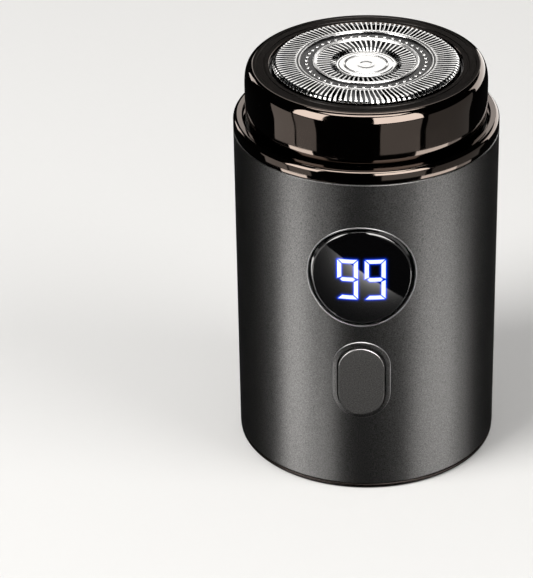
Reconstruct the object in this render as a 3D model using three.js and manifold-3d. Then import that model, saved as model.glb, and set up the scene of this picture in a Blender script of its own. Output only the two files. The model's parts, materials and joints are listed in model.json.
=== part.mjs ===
// A pocket electric shaver: an upright metal barrel with one round rotary cutting head on top.
//
// Frame: millimetres, +Z up along the motor axis, origin at the centre of the face it stands on.
// The display and the button face -Y, and the charging socket faces +Y.
// From the bottom up: a screwed base cover, the barrel with a battery across the bottom, the motor on
// the axis and a circuit board behind the front wall, then a plated collar round the drive deck, and a
// head that magnets hold on the deck and that pulls straight off.

import * as THREE from "three";
import { mergeVertices } from "three/addons/utils/BufferGeometryUtils.js";
import Module from "manifold-3d";

const wasm = await Module();
wasm.setup();

// ---- Driving dimensions -------------------------------------------------------------------------

const GAP = 0.3; // between pieces that rest on each other
const FIT = 0.1; // between coaxial pieces that are pressed or dropped in

const BARREL_R = 22;
const WALL = 1.2;
const BORE_R = BARREL_R - WALL;
const BARREL_Z = [0.95, 57.75];

const FOOT_R = 18.5;
const FOOT_T = 0.55;
const COVER_Z = 0.1; // the base cover clears the table by this much, and the foot pad touches it
const COVER_TOP = 4.2;

const COLLAR = { top: 60.1, round: 1, mouthR: 20.4, boreR: 20 };
const DECK = { r: BORE_R - 0.2, z: [54, 56.6], boreR: 3.1, towerR: 4.6, towerTop: 59.2 };

const HEAD = { r: 20, round: 2, z: [57, 69], lip: 60.5, neckR: 19.5, boreR: 18.4, windowR: 15.9, roof: 1 };
const HEAD_BASE = { r: [12.4, HEAD.boreR - GAP], z: [57.2, 60] };
const KEEPER_R = [13.4, 17.4];
const FRAME = { r: [14.9, 17.3], z: [63.9, 66.9], hubR: [3.9, 5.3], web: 1.3 };
const FLOAT = 0.8; // how far skin pressure pushes the foil, the cutter and the coupling down

const FOIL = { r: 15.3, t: 0.3, top: 69.5, flangeR: 17.3, flangeZ: [67.2, 67.7] };
const OUTER_SLOTS = { count: 32, r: [12, 15.7], width: 0.6, skew: 8, floor: 68.7 };
const INNER_SLOTS = { count: 16, r: [5.3, 7.9], width: 0.5, skew: 8, floor: 68 };
const CUTTER = { r: 14.6, plate: [66.4, 66.9], outerTop: 68.9, innerTop: 68.2 };
const CUTTER_HUB = { r: 3.4, z: [61.4, 66.1] };

const DISPLAY = { z: 40.9, lensR: 8.72, bezelR: 9.25, bezelBoreR: 8.8, proud: 0.12 };
const BUTTON = { z: 21.5, width: 7.6, height: 12.6, face: 22.6, back: 19, ringProud: 0.25 };
const PORT = { z: 8.2, width: 8.94, height: 3.26, wall: 0.32, y: [13.6, 20.9] };

const BATTERY = { r: 7.5, length: 32, z: 13 };
const TRAY_FLOOR = [COVER_TOP + GAP, 5.2];
const MOTOR = { r: 10, flat: 7.6, z: [27.4, 50.4], wall: 0.8, shaftR: 1, bossR: 3 };
const SHELF_Z = [24.6, 26.1]; // the bracket's lower plate, under the motor
const CEILING_Z = [50.7, 52.2]; // the bracket's upper plate, over the motor
const BRACKET_R = 19.6;
const BOARD = { halfWidth: 12.5, y: [-15.2, -14], z: [9, 49.5] };

const DECK_CIRCLE_R = 15.4; // deck screws, deck magnets and locating pins share this circle
const DECK_SCREW_ANGLES = [90, 210, 330];
const MAGNET_ANGLES = [30, 150, 270];
const PIN_ANGLES = [0, 180];
const BASE_SCREWS = [[-12.5, 10.6], [12.5, -10.6]];
const MOTOR_SCREW_X = 6;
const BOARD_SCREW = { x: 10.5, z: 26.3 };
const SCREW = { headR: 1.7, headT: 0.8, shankR: 0.75, holeR: 1, sinkR: 2 };

const ROUND = 32; // facets round the outer shells
const SMALL = 20; // facets round inner pieces
const TINY = 8; // facets round screws and pins

// ---- Finishes -----------------------------------------------------------------------------------

const finish = (color, roughness, metalness) =>
  new THREE.MeshStandardMaterial({ color, roughness, metalness });
const GUNMETAL = finish(0x5a5856, 0.42, 0.85);
const BLACK_CHROME = finish(0x2a2523, 0.12, 1);
const DARK_PLASTIC = finish(0x1c1c1e, 0.6, 0);
const GREY_PLASTIC = finish(0x77787a, 0.55, 0);
const RUBBER = finish(0x161616, 0.85, 0);
const STEEL = finish(0xb9bcc0, 0.25, 1);
const DARK_STEEL = finish(0x55585c, 0.4, 1);
const BRASS = finish(0xb08d45, 0.35, 1);
const GLOSS_BLACK = finish(0x050506, 0.05, 0);
const BOARD_GREEN = finish(0x1d4a31, 0.5, 0);
const CELL_WRAP = finish(0x2f5f8a, 0.45, 0);
const COPPER = finish(0xb4643c, 0.4, 0.9);
const RED_LEAD = finish(0xa32020, 0.5, 0);
const BLACK_LEAD = finish(0x151515, 0.5, 0);

// ---- Solids and cuts ----------------------------------------------------------------------------

// A closed geometry as a manifold-3d solid, without the triangles that collapse on a lathe's axis.
function solidOf(geometry) {
  const loose = geometry.index ? geometry.toNonIndexed() : geometry;
  const bare = new THREE.BufferGeometry().setAttribute("position", loose.getAttribute("position"));
  const merged = mergeVertices(bare, 1e-4);
  const corners = merged.index.array;
  const kept = [];
  for (let i = 0; i < corners.length; i += 3) {
    const [a, b, c] = corners.slice(i, i + 3);
    if (a !== b && b !== c && c !== a) kept.push(a, b, c);
  }
  const vertProperties = merged.getAttribute("position").array;
  return new wasm.Manifold(new wasm.Mesh({ numProp: 3, vertProperties, triVerts: Uint32Array.from(kept) }));
}

function geometryOf(solid) {
  const mesh = solid.getMesh();
  const geometry = new THREE.BufferGeometry();
  geometry.setAttribute("position", new THREE.BufferAttribute(mesh.vertProperties, 3));
  geometry.setIndex(new THREE.BufferAttribute(mesh.triVerts, 1));
  geometry.computeVertexNormals();
  return geometry;
}

const union = (...solids) => solids.reduce((sum, next) => sum.add(next));
const cut = (solid, ...tools) => tools.reduce((left, tool) => left.subtract(tool), solid);
const rad = THREE.MathUtils.degToRad;
const onCircle = (r, degrees) => [r * Math.cos(rad(degrees)), r * Math.sin(rad(degrees))];
const turned = (solid, degrees) => solidOf(geometryOf(solid).rotateZ(rad(degrees)));
const ringOf = (count, make) => Array.from({ length: count }, (_, i) => turned(make(), (360 * i) / count));

// A profile of [radius, height] corners turned about the Z axis. It may run either way round.
function lathe(profile, facets = ROUND) {
  const area = profile.reduce((sum, [r, z], i) => {
    const [nextR, nextZ] = profile[(i + 1) % profile.length];
    return sum + r * nextZ - nextR * z;
  }, 0);
  const ordered = area > 0 ? profile : [...profile].reverse();
  const corners = [...ordered, ordered[0]].map(([r, z]) => new THREE.Vector2(r, z));
  return solidOf(new THREE.LatheGeometry(corners, facets).rotateX(Math.PI / 2));
}

const tube = ([innerR, outerR], [low, high], facets) =>
  lathe([[innerR, low], [outerR, low], [outerR, high], [innerR, high]], facets);

const rod = (r, [low, high], [x, y] = [0, 0], facets = SMALL) =>
  solidOf(new THREE.CylinderGeometry(r, r, high - low, facets).rotateX(Math.PI / 2)
    .translate(x, y, (low + high) / 2));

const rodY = (r, [y1, y2], [x, z], facets = SMALL) =>
  solidOf(new THREE.CylinderGeometry(r, r, y2 - y1, facets).translate(x, (y1 + y2) / 2, z));

const rodX = (r, halfLength, z) =>
  solidOf(new THREE.CylinderGeometry(r, r, 2 * halfLength, 32).rotateZ(Math.PI / 2).translate(0, 0, z));

const box = ([x1, x2], [y1, y2], [z1, z2]) =>
  solidOf(new THREE.BoxGeometry(x2 - x1, y2 - y1, z2 - z1)
    .translate((x1 + x2) / 2, (y1 + y2) / 2, (z1 + z2) / 2));

// A hexagonal bar, given across its flats.
const hexBar = (flats, span) => rod(flats / Math.sqrt(3), span, [0, 0], 6);

// A shape with two round ends, upright or lying down, extruded between two Y values.
function slotPrism(width, height, [y1, y2], z) {
  const r = Math.min(width, height) / 2;
  const dx = width / 2 - r;
  const dz = height / 2 - r;
  const first = height >= width ? 0 : Math.PI / 2;
  const shape = new THREE.Shape();
  shape.absarc(-dx, dz, r, first, first + Math.PI);
  shape.absarc(dx, -dz, r, first + Math.PI, first + 2 * Math.PI);
  const options = { depth: y2 - y1, bevelEnabled: false, curveSegments: 6 };
  return solidOf(new THREE.ExtrudeGeometry(shape, options).rotateX(Math.PI / 2).translate(0, y2, z));
}

// The part of a front or rear prism that lies between two radii of the barrel.
const wrapped = (prism, radii) => prism.intersect(tube(radii, [-5, 75], 72));

// A rounded corner as [radius, height] points.
function corner(centreR, centreZ, r, from, to, steps = 3) {
  return Array.from({ length: steps + 1 }, (_, i) => {
    const [dr, dz] = onCircle(r, from + ((to - from) * i) / steps);
    return [centreR + dr, centreZ + dz];
  });
}

// A round section swept along a curve.
function swept(curve, r, sides, steps) {
  const section = new THREE.Shape().absarc(0, 0, r, 0, 2 * Math.PI);
  const options = { steps, curveSegments: sides / 2, extrudePath: curve };
  return solidOf(new THREE.ExtrudeGeometry(section, options));
}

// A slotted screw along Z: the shank runs from the head to the tip, upward or downward.
function screw([x, y], [low, high], tip) {
  const headUp = tip < low;
  const shank = rod(SCREW.shankR, headUp ? [tip, low + FIT] : [high - FIT, tip], [x, y], TINY);
  const recess = headUp ? [high - 0.4, high + 1] : [low - 1, low + 0.4];
  const slot = box([x - 1.1, x + 1.1], [y - 0.2, y + 0.2], recess);
  return cut(union(rod(SCREW.headR, [low, high], [x, y], TINY), shank), slot);
}

// ---- The object ---------------------------------------------------------------------------------

const shaver = new THREE.Group();

function add(name, solid, material) {
  const mesh = new THREE.Mesh(geometryOf(solid), material);
  mesh.name = name;
  shaver.add(mesh);
}

// Barrel, and what is set into its wall.

const SEAT = 0.75; // how much wider than the cap the button's bezel sleeve is, each side

function barrel() {
  const [low, high] = BARREL_Z;
  const edge = 0.12;
  const shell = lathe([
    [BORE_R, low], [BARREL_R - edge, low], [BARREL_R, low + edge],
    [BARREL_R, high - edge], [BARREL_R - edge, high], [BORE_R, high],
  ]);
  return cut(
    shell,
    rodY(DISPLAY.bezelR + FIT, [-30, -10], [0, DISPLAY.z], 36),
    slotPrism(BUTTON.width + 2 * SEAT, BUTTON.height + 2 * SEAT, [-30, -10], BUTTON.z),
    slotPrism(12.2, 6.2, [10, 30], PORT.z),
  );
}

function displayBezel() {
  const ring = cut(
    rodY(DISPLAY.bezelR, [-30, -10], [0, DISPLAY.z], 36),
    rodY(DISPLAY.bezelBoreR, [-31, -9], [0, DISPLAY.z], 36),
  );
  return wrapped(ring, [BORE_R + FIT, BARREL_R + DISPLAY.proud]);
}

function displayLens() {
  const window = rodY(DISPLAY.lensR, [-30, -10], [0, DISPLAY.z], 36);
  const lip = rodY(DISPLAY.bezelR + 0.6, [-30, -10], [0, DISPLAY.z], 36);
  return union(
    wrapped(window, [BORE_R - 0.6, BARREL_R - 0.03]),
    wrapped(lip, [BORE_R - 0.9, BORE_R - 0.2]),
  );
}

function buttonBezel() {
  const { width, height, z, ringProud } = BUTTON;
  const outer = BARREL_R + ringProud;
  const stadium = (grow) => slotPrism(width + 2 * grow, height + 2 * grow, [-26, -16], z);
  const flange = wrapped(stadium(SEAT + 0.2), [BARREL_R + 0.03, outer]);
  const sleeve = wrapped(stadium(SEAT - FIT), [BORE_R - GAP, outer]);
  return cut(union(flange, sleeve), stadium(GAP));
}

function buttonCap() {
  const { width, height, face, back, z } = BUTTON;
  const cap = slotPrism(width, height, [-face, -back - 0.5], z);
  const flange = slotPrism(width + 1.6, height + 1.6, [-back - 0.6, -back], z);
  const stem = rodY(1.6, [-back - FIT, -back + 0.25], [0, z], TINY);
  return union(cap, flange, stem);
}

function portInsert() {
  const plug = slotPrism(12, 6, [19.4, 21], PORT.z);
  const flange = slotPrism(13.4, 7.4, [18.8, 19.45], PORT.z);
  return cut(union(plug, flange), slotPrism(PORT.width + 0.4, PORT.height + 0.4, [17, 23], PORT.z));
}

function portShell() {
  const { width, height, wall, y, z } = PORT;
  const [back, mouth] = y;
  const hollow = slotPrism(width - 2 * wall, height - 2 * wall, [back + 1, mouth + 1], z);
  return cut(slotPrism(width, height, y, z), hollow);
}

add("barrel", barrel(), GUNMETAL);
add("display_bezel", displayBezel(), STEEL);
add("display_lens", displayLens(), GLOSS_BLACK);
add("button_bezel", buttonBezel(), GUNMETAL);
add("button_cap", buttonCap(), GUNMETAL);
add("port_insert", portInsert(), DARK_PLASTIC);
add("usb_port_shell", portShell(), STEEL);
add("usb_port_tongue", box([-3.35, 3.35], [14.9, 20.2], [PORT.z - 0.35, PORT.z + 0.35]), DARK_PLASTIC);

// Base cover, foot and screws.

const BASE_HEAD_Z = [1.15, 1.15 + SCREW.headT];

function baseCover() {
  const recess = FOOT_T + GAP;
  const rimTop = BARREL_Z[0] - 0.2;
  const disc = lathe([
    [0, recess], [FOOT_R + GAP, recess], [FOOT_R + GAP, COVER_Z], [BARREL_R - 0.25, COVER_Z],
    [BARREL_R - 0.05, COVER_Z + 0.2], [BARREL_R - 0.05, rimTop], [BORE_R - FIT, rimTop],
    [BORE_R - FIT, COVER_TOP], [19.4, COVER_TOP], [19.4, 3], [0, 3],
  ]);
  const holes = BASE_SCREWS.flatMap((at) => [
    rod(SCREW.sinkR, [0.5, BASE_HEAD_Z[1] + GAP], at, TINY),
    rod(SCREW.holeR, [1, 5], at, TINY),
  ]);
  return cut(disc, ...holes);
}

add("base_cover", baseCover(), BLACK_CHROME);
add("foot_pad", rod(FOOT_R, [0, FOOT_T], [0, 0], ROUND), RUBBER);
BASE_SCREWS.forEach((at, i) => add(`base_screw_${i + 1}`, screw(at, BASE_HEAD_Z, 7.4), STEEL));

// Battery tray and battery.

function batteryTray() {
  const half = BATTERY.length / 2 + GAP;
  const floor = rod(BORE_R - 0.5, TRAY_FLOOR, [0, 0], 48);
  const [, floorTop] = TRAY_FLOOR;
  const ends = [-1, 1].map((side) => {
    const faces = [side * half, side * (half + 0.8)].sort((a, b) => a - b);
    return box(faces, [-5.5, 5.5], [floorTop - FIT, SHELF_Z[0] - GAP]);
  });
  const ribs = [-9, 9].map((x) => box([x - 0.6, x + 0.6], [-8.6, 8.6], [floorTop - FIT, 9.5]));
  const bosses = BASE_SCREWS.map((at) => rod(SCREW.sinkR, [floorTop - FIT, 8], at, TINY));
  const holes = BASE_SCREWS.map((at) => rod(SCREW.holeR, [4, 9], at, TINY));
  const socketRoom = box([-8, 8], [18.4, 22], [4, 6]);
  const tray = union(floor, ...ends, ...ribs, ...bosses);
  return cut(tray, rodX(BATTERY.r + GAP, half, BATTERY.z), socketRoom, ...holes);
}

add("battery_tray", batteryTray(), DARK_PLASTIC);
add("battery_cell", rodX(BATTERY.r, BATTERY.length / 2, BATTERY.z), CELL_WRAP);

// Motor bracket: two plates joined by four columns.

const BOARD_BOSS_Y = [BOARD.y[1] + GAP, -10.5];

const boardScrewHoles = (y) =>
  [-1, 1].map((side) => rodY(SCREW.holeR, y, [side * BOARD_SCREW.x, BOARD_SCREW.z], TINY));

function motorBracket() {
  const [, ceilingTop] = CEILING_Z;
  const plates = [SHELF_Z, CEILING_Z].map((span) => rod(BRACKET_R, span, [0, 0], 48));
  const around = (middle, half) => [middle - half, middle + half];
  const columns = [[1, 1], [1, -1], [-1, 1], [-1, -1]].map(([sx, sy]) =>
    box(around(sx * 14.3, 1.4), around(sy * 9.4, 1.4), [SHELF_Z[0], ceilingTop]));
  const bosses = [-1, 1].map((side) =>
    box(around(side * BOARD_SCREW.x, 2), BOARD_BOSS_Y, [SHELF_Z[0], 28.4]));
  const boardRoom = box([-22, 22], [-22, BOARD_BOSS_Y[0]], [20, CEILING_Z[0] - GAP]);
  const bossHoles = boardScrewHoles([-15, -9]);
  const deckHoles = DECK_SCREW_ANGLES.map((a) =>
    rod(SCREW.holeR, [50, 53], onCircle(DECK_CIRCLE_R, a), TINY));
  const motorHoles = [-MOTOR_SCREW_X, MOTOR_SCREW_X].flatMap((x) => [
    rod(SCREW.holeR, [50, 53], [x, 0], TINY),
    rod(SCREW.sinkR, [ceilingTop - 0.8, 53], [x, 0], TINY),
  ]);
  const openings = [rod(7, [20, 28], [0, 0]), rod(MOTOR.bossR + 0.4, [50, 53], [0, 0])];
  const frame = union(...plates, ...columns, ...bosses);
  return cut(frame, boardRoom, ...bossHoles, ...deckHoles, ...motorHoles, ...openings);
}

add("motor_bracket", motorBracket(), DARK_PLASTIC);

// Electronics.

function mainBoard() {
  const { halfWidth, y, z } = BOARD;
  return cut(box([-halfWidth, halfWidth], y, z), ...boardScrewHoles([-16, -13]));
}

function tactSwitch() {
  const body = box([-3, 3], [-17.6, BOARD.y[0] - GAP], [BUTTON.z - 3, BUTTON.z + 3]);
  return cut(body, rodY(1.9, [-18, -16], [0, BUTTON.z], TINY));
}

// A board screw lies along Y, with its head at the front.
function boardScrew(x) {
  const front = BOARD.y[0] - FIT;
  return union(
    rodY(SCREW.headR, [front - SCREW.headT, front], [x, BOARD_SCREW.z], TINY),
    rodY(SCREW.shankR, [front - FIT, -11.5], [x, BOARD_SCREW.z], TINY),
  );
}

add("main_board", mainBoard(), BOARD_GREEN);
const LED_Z = [DISPLAY.z - 6.5, DISPLAY.z + 6.5];
add("led_display", box([-7, 7], [-18.1, BOARD.y[0] - GAP], LED_Z), DARK_PLASTIC);
add("control_chip", box([-3.5, 3.5], [BOARD.y[1] + GAP, -12.4], [31, 38]), GLOSS_BLACK);
add("tact_switch", tactSwitch(), DARK_STEEL);
add("switch_plunger", rodY(1.6, [-18.45, -16.8], [0, BUTTON.z], TINY), DARK_PLASTIC);
[-1, 1].forEach((side, i) => add(`board_screw_${i + 1}`, boardScrew(side * BOARD_SCREW.x), STEEL));
add("charge_board", box([-7, 7], [10, 18.4], [TRAY_FLOOR[1] + GAP, 6.25]), BOARD_GREEN);

function lead(points) {
  const curve = new THREE.CatmullRomCurve3(points.map((p) => new THREE.Vector3(...p)));
  return swept(curve, 0.5, 8, 12);
}

[-1, 1].forEach((side, i) => {
  const insulation = side < 0 ? BLACK_LEAD : RED_LEAD;
  const boardY = BOARD.y[1] + 0.6;
  add(`battery_lead_${i + 1}`, lead([
    [side * 14.2, -1, 21.4], [side * 13.6, -6, 21.4], [side * 11.6, -11, 19.5], [side * 11, boardY, 18.5],
  ]), insulation);
  add(`motor_lead_${i + 1}`, lead([
    [side * 4.5, -1.2, 23.2], [side * 5.6, -4.5, 23.2], [side * 8, -9, 22.8], [side * 8.6, boardY, 22],
  ]), insulation);
});
add("charge_lead", lead([
  [6.6, 11, 7.2], [11, 14.5, 9.5], [15.8, 11.2, 11], [18.6, 3, 11], [18.4, -5, 11], [14.5, -11, 11],
  [11.4, -13.4, 11],
]), BLACK_LEAD);

// Motor.

const flatted = (r, halfFlat, span) =>
  rod(r, span, [0, 0], 36).intersect(box([-12, 12], [-halfFlat, halfFlat], [0, 80]));

function motorCan() {
  const { r, flat, z, wall, bossR } = MOTOR;
  const [low, high] = z;
  const can = union(flatted(r, flat, z), rod(bossR, [high - FIT, high + 0.6], [0, 0]));
  const hollow = flatted(r - wall, flat - wall, [low - 1, high - wall]);
  const screwHoles = [-MOTOR_SCREW_X, MOTOR_SCREW_X].map((x) => rod(SCREW.holeR, [48, 52], [x, 0], TINY));
  return cut(can, hollow, rod(MOTOR.shaftR + 0.15, [40, 60]), ...screwHoles);
}

function motorEndCap() {
  const { r, flat, z, wall } = MOTOR;
  const [low] = z;
  const flange = flatted(r, flat, [low - 1, low - GAP]);
  const plug = flatted(r - wall - GAP, flat - wall - GAP, [low - GAP - FIT, low + 1.2]);
  const slots = [-4.5, 4.5].map((x) => box([x - 0.6, x + 0.6], [-1.1, 1.1], [20, 30]));
  return cut(union(flange, plug), ...slots, rod(MOTOR.shaftR + 0.15, [low - 0.4, low + 3]));
}

// A magnet is the arc of the ring that a wedge-shaped third of the can leaves, round one side of X.
function statorMagnet(side) {
  const ring = tube([6.9, MOTOR.r - MOTOR.wall - GAP], [33, 47], 36);
  return ring.intersect(box(side < 0 ? [-12, -4.6] : [4.6, 12], [-6.4, 6.4], [30, 50]));
}

// A terminal is one brass strip: a tab below the end cap, a leaf across it, and a brush beside the shaft.
function motorTerminal(side) {
  const across = (from, to) => [side * from, side * to].sort((a, b) => a - b);
  const y = [-0.8, 0.8];
  return union(
    box(across(4.25, 4.75), y, [22.9, 29.2]),
    box(across(2.2, 4.75), y, [28.9, 29.3]),
    box(across(2.2, 2.6), y, [28.9, 31.8]),
  );
}

add("motor_can", motorCan(), DARK_STEEL);
add("motor_end_cap", motorEndCap(), GREY_PLASTIC);
[-1, 1].forEach((side, i) => {
  add(`stator_magnet_${i + 1}`, statorMagnet(side), DARK_STEEL);
  add(`motor_terminal_${i + 1}`, motorTerminal(side), BRASS);
  const headTop = CEILING_Z[1] + 0.2;
  const headZ = [headTop - SCREW.headT, headTop];
  add(`motor_screw_${i + 1}`, screw([side * MOTOR_SCREW_X, 0], headZ, 48.9), STEEL);
});

// Rotor: shaft, commutator, laminated core with three poles, and its windings.

const CORE_Z = [35, 43];
const SHAFT_TOP = 57.2;
const SHAFT_FLAT = 0.7; // a D flat, this far from the axis, drives the coupling

function motorShaft() {
  return cut(rod(MOTOR.shaftR, [MOTOR.z[0], SHAFT_TOP]), box([-2, 2], [SHAFT_FLAT, 2], [52.5, 60]));
}

function armatureCore() {
  const hub = tube([MOTOR.shaftR + FIT, 2.2], CORE_Z, SMALL);
  const webs = ringOf(3, () => box([2, 5.5], [-0.7, 0.7], CORE_Z));
  const gaps = ringOf(3, () => box([-7, -4], [-0.8, 0.8], [CORE_Z[0] - 1, CORE_Z[1] + 1]));
  return union(hub, ...webs, cut(tube([5.2, 6.3], CORE_Z, 36), ...gaps));
}

function armatureWinding() {
  const [low, high] = CORE_Z;
  const coil = cut(
    box([2.6, 4.5], [-2, 2], [low - 1.2, high + 1.2]),
    box([2, 6], [-0.7 - GAP, 0.7 + GAP], [low - GAP, high + GAP]),
  );
  const bridges = [[low - 1.2, low - GAP], [high + GAP, high + 1.2]].map((span) =>
    tube([1.5, 3.2], span, SMALL));
  return union(...ringOf(3, () => coil), ...bridges);
}

add("motor_shaft", motorShaft(), STEEL);
add("commutator", tube([MOTOR.shaftR + FIT, 1.9], [29.7, 32.6], SMALL), COPPER);
add("armature_core", armatureCore(), DARK_STEEL);
add("armature_winding", armatureWinding(), COPPER);

// Drive coupling: it slides on the shaft's flat against a coil spring. Its hexagonal tip drives the cutter.

const COUPLING = { r: 2.5, z: [55.4, 60.9], tip: 65.4, flats: 3.4 };
const COUPLING_SPRING_Z = [51.5, 55.1];

class Helix extends THREE.Curve {
  constructor(r, low, high, turns) {
    super();
    Object.assign(this, { r, low, high, turns });
  }

  getPoint(t) {
    const [x, y] = onCircle(this.r, 360 * this.turns * t);
    return new THREE.Vector3(x, y, THREE.MathUtils.lerp(this.low, this.high, t));
  }
}

function driveCoupling() {
  const { r, z, tip, flats } = COUPLING;
  const bore = rod(MOTOR.shaftR + 0.15, [50, SHAFT_TOP + FLOAT + 0.2]);
  const flatWall = box([-3, 3], [SHAFT_FLAT + 0.15, 3], [40, 70]);
  return cut(union(rod(r, z), hexBar(flats, [z[1] - FIT, tip])), cut(bore, flatWall));
}

function couplingSpring() {
  const wire = 0.28;
  const [low, high] = COUPLING_SPRING_Z;
  return swept(new Helix(1.9, low + wire, high - wire, 3.5), wire, 6, 35);
}

add("coupling_spring", couplingSpring(), STEEL);
add("drive_coupling", driveCoupling(), GREY_PLASTIC);

// Collar and drive deck.

const PIN = { r: 1.2, top: 58.6 };
const MAGNET = { r: 2.4, z: [55.4, 56.5] };
const DECK_HEAD_Z = [55.6, 55.6 + SCREW.headT];
const SEAL_SECTION_R = 0.45;

function collarRing() {
  const { top, round, mouthR, boreR } = COLLAR;
  const seat = BARREL_Z[1] + 0.15;
  return lathe([
    [boreR, DECK.z[1] + GAP], [BORE_R - 0.3, DECK.z[1] + GAP], [BORE_R - 0.3, seat], [BARREL_R - 0.15, seat],
    [BARREL_R, seat + 0.15], ...corner(BARREL_R - round, top - round, round, 0, 90),
    [mouthR + 0.15, top], [mouthR, top - 0.15], [mouthR, top - 0.7], [boreR, top - 0.8],
  ]);
}

function driveDeck() {
  const { r, z, boreR, towerR, towerTop } = DECK;
  const [low, high] = z;
  const grooveR = r - 1.1;
  const plate = lathe([
    [boreR, low], [r, low], [r, low + 0.6], [grooveR, low + 0.6], [grooveR, high - 0.8], [r, high - 0.8],
    [r, high], [towerR, high], [towerR, towerTop], [boreR, towerTop],
  ]);
  const bosses = DECK_SCREW_ANGLES.map((a) =>
    rod(2.4, [CEILING_Z[1] + GAP, low + FIT], onCircle(DECK_CIRCLE_R, a), TINY));
  const pins = PIN_ANGLES.map((a) => rod(PIN.r, [high - FIT, PIN.top], onCircle(DECK_CIRCLE_R, a), TINY));
  const sinks = DECK_SCREW_ANGLES.flatMap((a) => [
    rod(SCREW.sinkR, [DECK_HEAD_Z[0] - GAP, high + 1], onCircle(DECK_CIRCLE_R, a), TINY),
    rod(SCREW.holeR, [52, high], onCircle(DECK_CIRCLE_R, a), TINY),
  ]);
  const pockets = MAGNET_ANGLES.map((a) =>
    rod(MAGNET.r + GAP, [MAGNET.z[0] - GAP, high + 1], onCircle(DECK_CIRCLE_R, a), SMALL));
  return cut(union(plate, ...bosses, ...pins), ...sinks, ...pockets);
}

function deckSeal() {
  const centreZ = (DECK.z[0] + DECK.z[1] - 0.2) / 2;
  return lathe(corner(DECK.r - 0.5, centreZ, SEAL_SECTION_R, 0, 300, 5));
}

add("collar_ring", collarRing(), BLACK_CHROME);
add("drive_deck", driveDeck(), DARK_PLASTIC);
add("deck_seal", deckSeal(), RUBBER);
DECK_SCREW_ANGLES.forEach((a, i) =>
  add(`deck_screw_${i + 1}`, screw(onCircle(DECK_CIRCLE_R, a), DECK_HEAD_Z, 50.9), STEEL));
MAGNET_ANGLES.forEach((a, i) =>
  add(`deck_magnet_${i + 1}`, rod(MAGNET.r, MAGNET.z, onCircle(DECK_CIRCLE_R, a), SMALL), STEEL));
add("shaft_seal", tube([COUPLING.r + 0.2, DECK.towerR - 0.2], [DECK.towerTop + GAP, 60.4], SMALL), RUBBER);

// Head: outer cap, base ring, and the steel keeper that the deck's magnets hold.

function headCap() {
  const { r, round, z, lip, neckR, boreR, windowR, roof } = HEAD;
  const [low, high] = z;
  return lathe([
    [boreR, low], [neckR, low], [neckR, lip], [r - 0.15, lip], [r, lip + 0.15],
    ...corner(r - round, high - round, round, 0, 90, 4),
    [windowR + 0.2, high], [windowR, high - 0.2], [windowR, high - roof], [boreR, high - roof],
  ]);
}

function headBase() {
  const [innerR, outerR] = HEAD_BASE.r;
  const [low, high] = HEAD_BASE.z;
  const [keeperIn, keeperOut] = KEEPER_R;
  const roof = low + 1.4;
  const ring = lathe([
    [innerR, low], [keeperIn - GAP, low], [keeperIn - GAP, roof], [keeperOut + GAP, roof],
    [keeperOut + GAP, low], [outerR, low], [outerR, high], [innerR, high],
  ]);
  return cut(ring, ...pinHoles());
}

const pinHoles = () =>
  PIN_ANGLES.map((a) => rod(PIN.r + GAP, [57, PIN.top + 0.5], onCircle(DECK_CIRCLE_R, a), TINY));

const keeperRing = () => cut(tube(KEEPER_R, [HEAD_BASE.z[0] + FIT, HEAD_BASE.z[0] + 1.1]), ...pinHoles());

// The wave spring is a flat ring that rises and falls three times a turn.
function floatSpring() {
  const thickness = 0.3;
  const low = HEAD_BASE.z[1] + GAP;
  const high = FRAME.z[0] - GAP;
  const middle = (low + high) / 2;
  const swing = (high - low - thickness) / 2;
  const half = thickness / 2;
  const profile = [[15, middle - half], [16.9, middle - half], [16.9, middle + half], [15, middle + half]];
  const points = [...profile, profile[0]].map(([r, z]) => new THREE.Vector2(r, z));
  const ring = new THREE.LatheGeometry(points, ROUND).rotateX(Math.PI / 2);
  const position = ring.getAttribute("position");
  for (let i = 0; i < position.count; i += 1) {
    const angle = Math.atan2(position.getY(i), position.getX(i));
    position.setZ(i, position.getZ(i) + swing * Math.cos(3 * angle));
  }
  return solidOf(ring);
}

add("head_cap", headCap(), BLACK_CHROME);
add("head_base", headBase(), DARK_PLASTIC);
add("keeper_ring", keeperRing(), STEEL);
add("float_spring", floatSpring(), STEEL);

// Floating cutting unit: slotted foil, its frame, and the spinning cutter under it.

function foilFrame() {
  const { r, z, hubR, web } = FRAME;
  const [low, high] = z;
  const spokes = ringOf(4, () => box([hubR[1] - 0.4, r[0] + 0.4], [-web, web], [low, low + web]));
  return union(tube(r, z), tube(hubR, [low, low + web], SMALL), ...spokes);
}

// One radial slot of a ring of slots, skewed about its own middle.
function slotTool({ r, width, skew, floor }) {
  const [from, to] = r;
  const top = 72;
  return solidOf(new THREE.BoxGeometry(to - from, width, top - floor).rotateZ(rad(skew))
    .translate((from + to) / 2, 0, (floor + top) / 2));
}

function foil() {
  const { r, t, top, flangeR, flangeZ } = FOIL;
  const round = 0.7;
  const groove = top - 0.55;
  const disc = top - 0.7;
  const upper = [
    [0, disc], [4.7, disc], [8.6, top - 0.2], [9.1, groove], [10.9, groove], [11.3, top],
    ...corner(r - round, top - round, round, 90, 0, 2), [r, flangeZ[1]], [flangeR, flangeZ[1]],
  ];
  const lower = [
    [flangeR, flangeZ[0]], [r - t, flangeZ[0]], [r - t, top - round], [r - round, top - t],
    [11.1, top - t], [10.8, groove - t], [9.2, groove - t], [8.5, top - 0.2 - t],
    [4.7, disc - t], [0, disc - t],
  ];
  const halfPitch = 180 / OUTER_SLOTS.count;
  const outer = ringOf(OUTER_SLOTS.count, () => turned(slotTool(OUTER_SLOTS), halfPitch));
  const inner = ringOf(INNER_SLOTS.count, () => turned(slotTool(INNER_SLOTS), halfPitch));
  return cut(lathe([...upper, ...lower], OUTER_SLOTS.count), ...outer, ...inner);
}

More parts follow.
